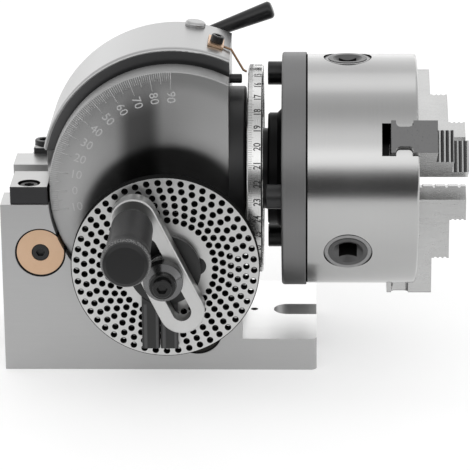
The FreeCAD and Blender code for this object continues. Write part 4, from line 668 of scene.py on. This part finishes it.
# The square key holes: painted shade, dead black.
pinion.hollows(key_side.within(0.0, 0.0047, 1e-4), 0.003)
dress(pinion, "chuck_pinion_1", "chuck_pinion_2", "chuck_pinion_3")
collar = Finish("pressed_collar", Metallic=1.0)
collar_grain = collar.noise(500.0)
collar.feed(Base_Color=collar.blend(collar_grain, (0.24, 0.24, 0.241), (0.34, 0.34, 0.341)),
            Roughness=0.24 + collar_grain * 0.16)
collar.relief(collar_grain, 8e-6, edge=3e-4)
dress(collar, "pinion_rings")

# Studio: plain pale floor, a light band behind and above, and a dark gap at eye level in front
# that the polished faces reflect. One soft lamp hangs above.

floor_finish = Finish("studio_floor", Metallic=0.0, Roughness=0.9, Emission_Color=(1, 1, 1, 1),
                      Emission_Strength=0.46)
floor_grain = floor_finish.noise(30.0)
floor_finish.feed(Base_Color=floor_finish.blend(floor_grain, (0.58, 0.58, 0.58), (0.61, 0.61, 0.61)))
floor_mesh = bpy.data.meshes.new("studio_floor")
reach_out, front, floor_z = 12.0, -0.52, -2e-4
floor_mesh.from_pydata([(-reach_out, front, floor_z), (reach_out, front, floor_z),
                        (reach_out, reach_out, floor_z), (-reach_out, reach_out, floor_z)],
                       [], [(0, 1, 2, 3)])
floor_mesh.materials.append(floor_finish.material)
floor = bpy.data.objects.new("studio_floor", floor_mesh)
bpy.context.scene.collection.objects.link(floor)

world = bpy.data.worlds.new("studio")
bpy.context.scene.world = world
world.use_nodes = True
tree = world.node_tree
coordinates = tree.nodes.new("ShaderNodeTexCoord")
split = tree.nodes.new("ShaderNodeSeparateXYZ")
tree.links.new(coordinates.outputs["Generated"], split.inputs[0])
sky_angle = tree.nodes.new("ShaderNodeMath")
sky_angle.operation = "ARCTAN2"
tree.links.new(split.outputs[2], sky_angle.inputs[0])
tree.links.new(split.outputs[1], sky_angle.inputs[1])
sky_share = tree.nodes.new("ShaderNodeMath")
sky_share.operation = "MULTIPLY_ADD"
sky_share.inputs[1].default_value = 0.5 / math.pi
sky_share.inputs[2].default_value = 0.5
tree.links.new(sky_angle.outputs[0], sky_share.inputs[0])
ramp = tree.nodes.new("ShaderNodeValToRGB")
sky = ((-180, 0.03), (-100, 0.03), (-60, 0.8), (0, 1.55), (19, 1.34), (30, 1.15), (40, 1.0),
       (50, 0.92), (60, 0.92), (69, 1.12), (79, 0.86), (89, 0.78), (99, 0.66), (109, 0.70),
       (119, 0.95), (129, 1.2), (139, 1.22), (148, 1.80), (158, 1.80), (166, 0.30), (171, 0.05),
       (180, 0.04))
brightest = 2.0
stops = ramp.color_ramp.elements
for k, (elevation, level) in enumerate(sky):
    position = 0.5 + elevation / 360
    stop = stops[k] if k < 2 else stops.new(position)
    stop.position = position
    stop.color = (level / brightest,) * 3 + (1.0,)
tree.links.new(sky_share.outputs[0], ramp.inputs[0])
background = tree.nodes["Background"]
background.inputs["Strength"].default_value = brightest
tree.links.new(ramp.outputs[0], background.inputs["Color"])


def soft_light(name, at, towards, width, height, watts):
    """Rectangular area light at a point, facing another point."""
    lamp = bpy.data.lights.new(name, "AREA")
    lamp.shape, lamp.size, lamp.size_y, lamp.energy = "RECTANGLE", width, height, watts
    holder = bpy.data.objects.new(name, lamp)
    aim = (Vector(towards) - Vector(at)).to_track_quat("-Z", "Y")
    holder.matrix_world = Matrix.Translation(at) @ aim.to_matrix().to_4x4()
    bpy.context.scene.collection.objects.link(holder)


soft_light("top_light", (0.0, 0.6, 1.6), (0.0, 0.0, 0.05), 1.2, 0.8, 1.2)

# Camera: long lens, a little to the right of the object and nineteen degrees above it. Its place
# was fitted to the holes of the index plate.

azimuth, elevation, roll = math.radians(1.577), math.radians(19.003), math.radians(-0.424)
ahead = Vector((-math.sin(azimuth) * math.cos(elevation), math.cos(azimuth) * math.cos(elevation),
                -math.sin(elevation)))
right = Vector((math.cos(azimuth), math.sin(azimuth), 0.0))
up = right.cross(ahead)
rolled_right = right * math.cos(roll) + up * math.sin(roll)
rolled_up = up * math.cos(roll) - right * math.sin(roll)
lens_mm, sensor_mm = 210.7, 36.0
camera_data = bpy.data.cameras.new("camera")
camera_data.lens, camera_data.sensor_width = lens_mm, sensor_mm
camera_data.clip_start, camera_data.clip_end = 0.05, 50.0
camera = bpy.data.objects.new("camera", camera_data)
frame_turn = Matrix((rolled_right, rolled_up, -ahead)).transposed().to_4x4()
camera.matrix_world = Matrix.Translation((0.071716, -1.434209, 0.555392)) @ frame_turn
bpy.context.scene.collection.objects.link(camera)
bpy.context.scene.camera = camera
bpy.context.scene.view_settings.view_transform = "Standard"
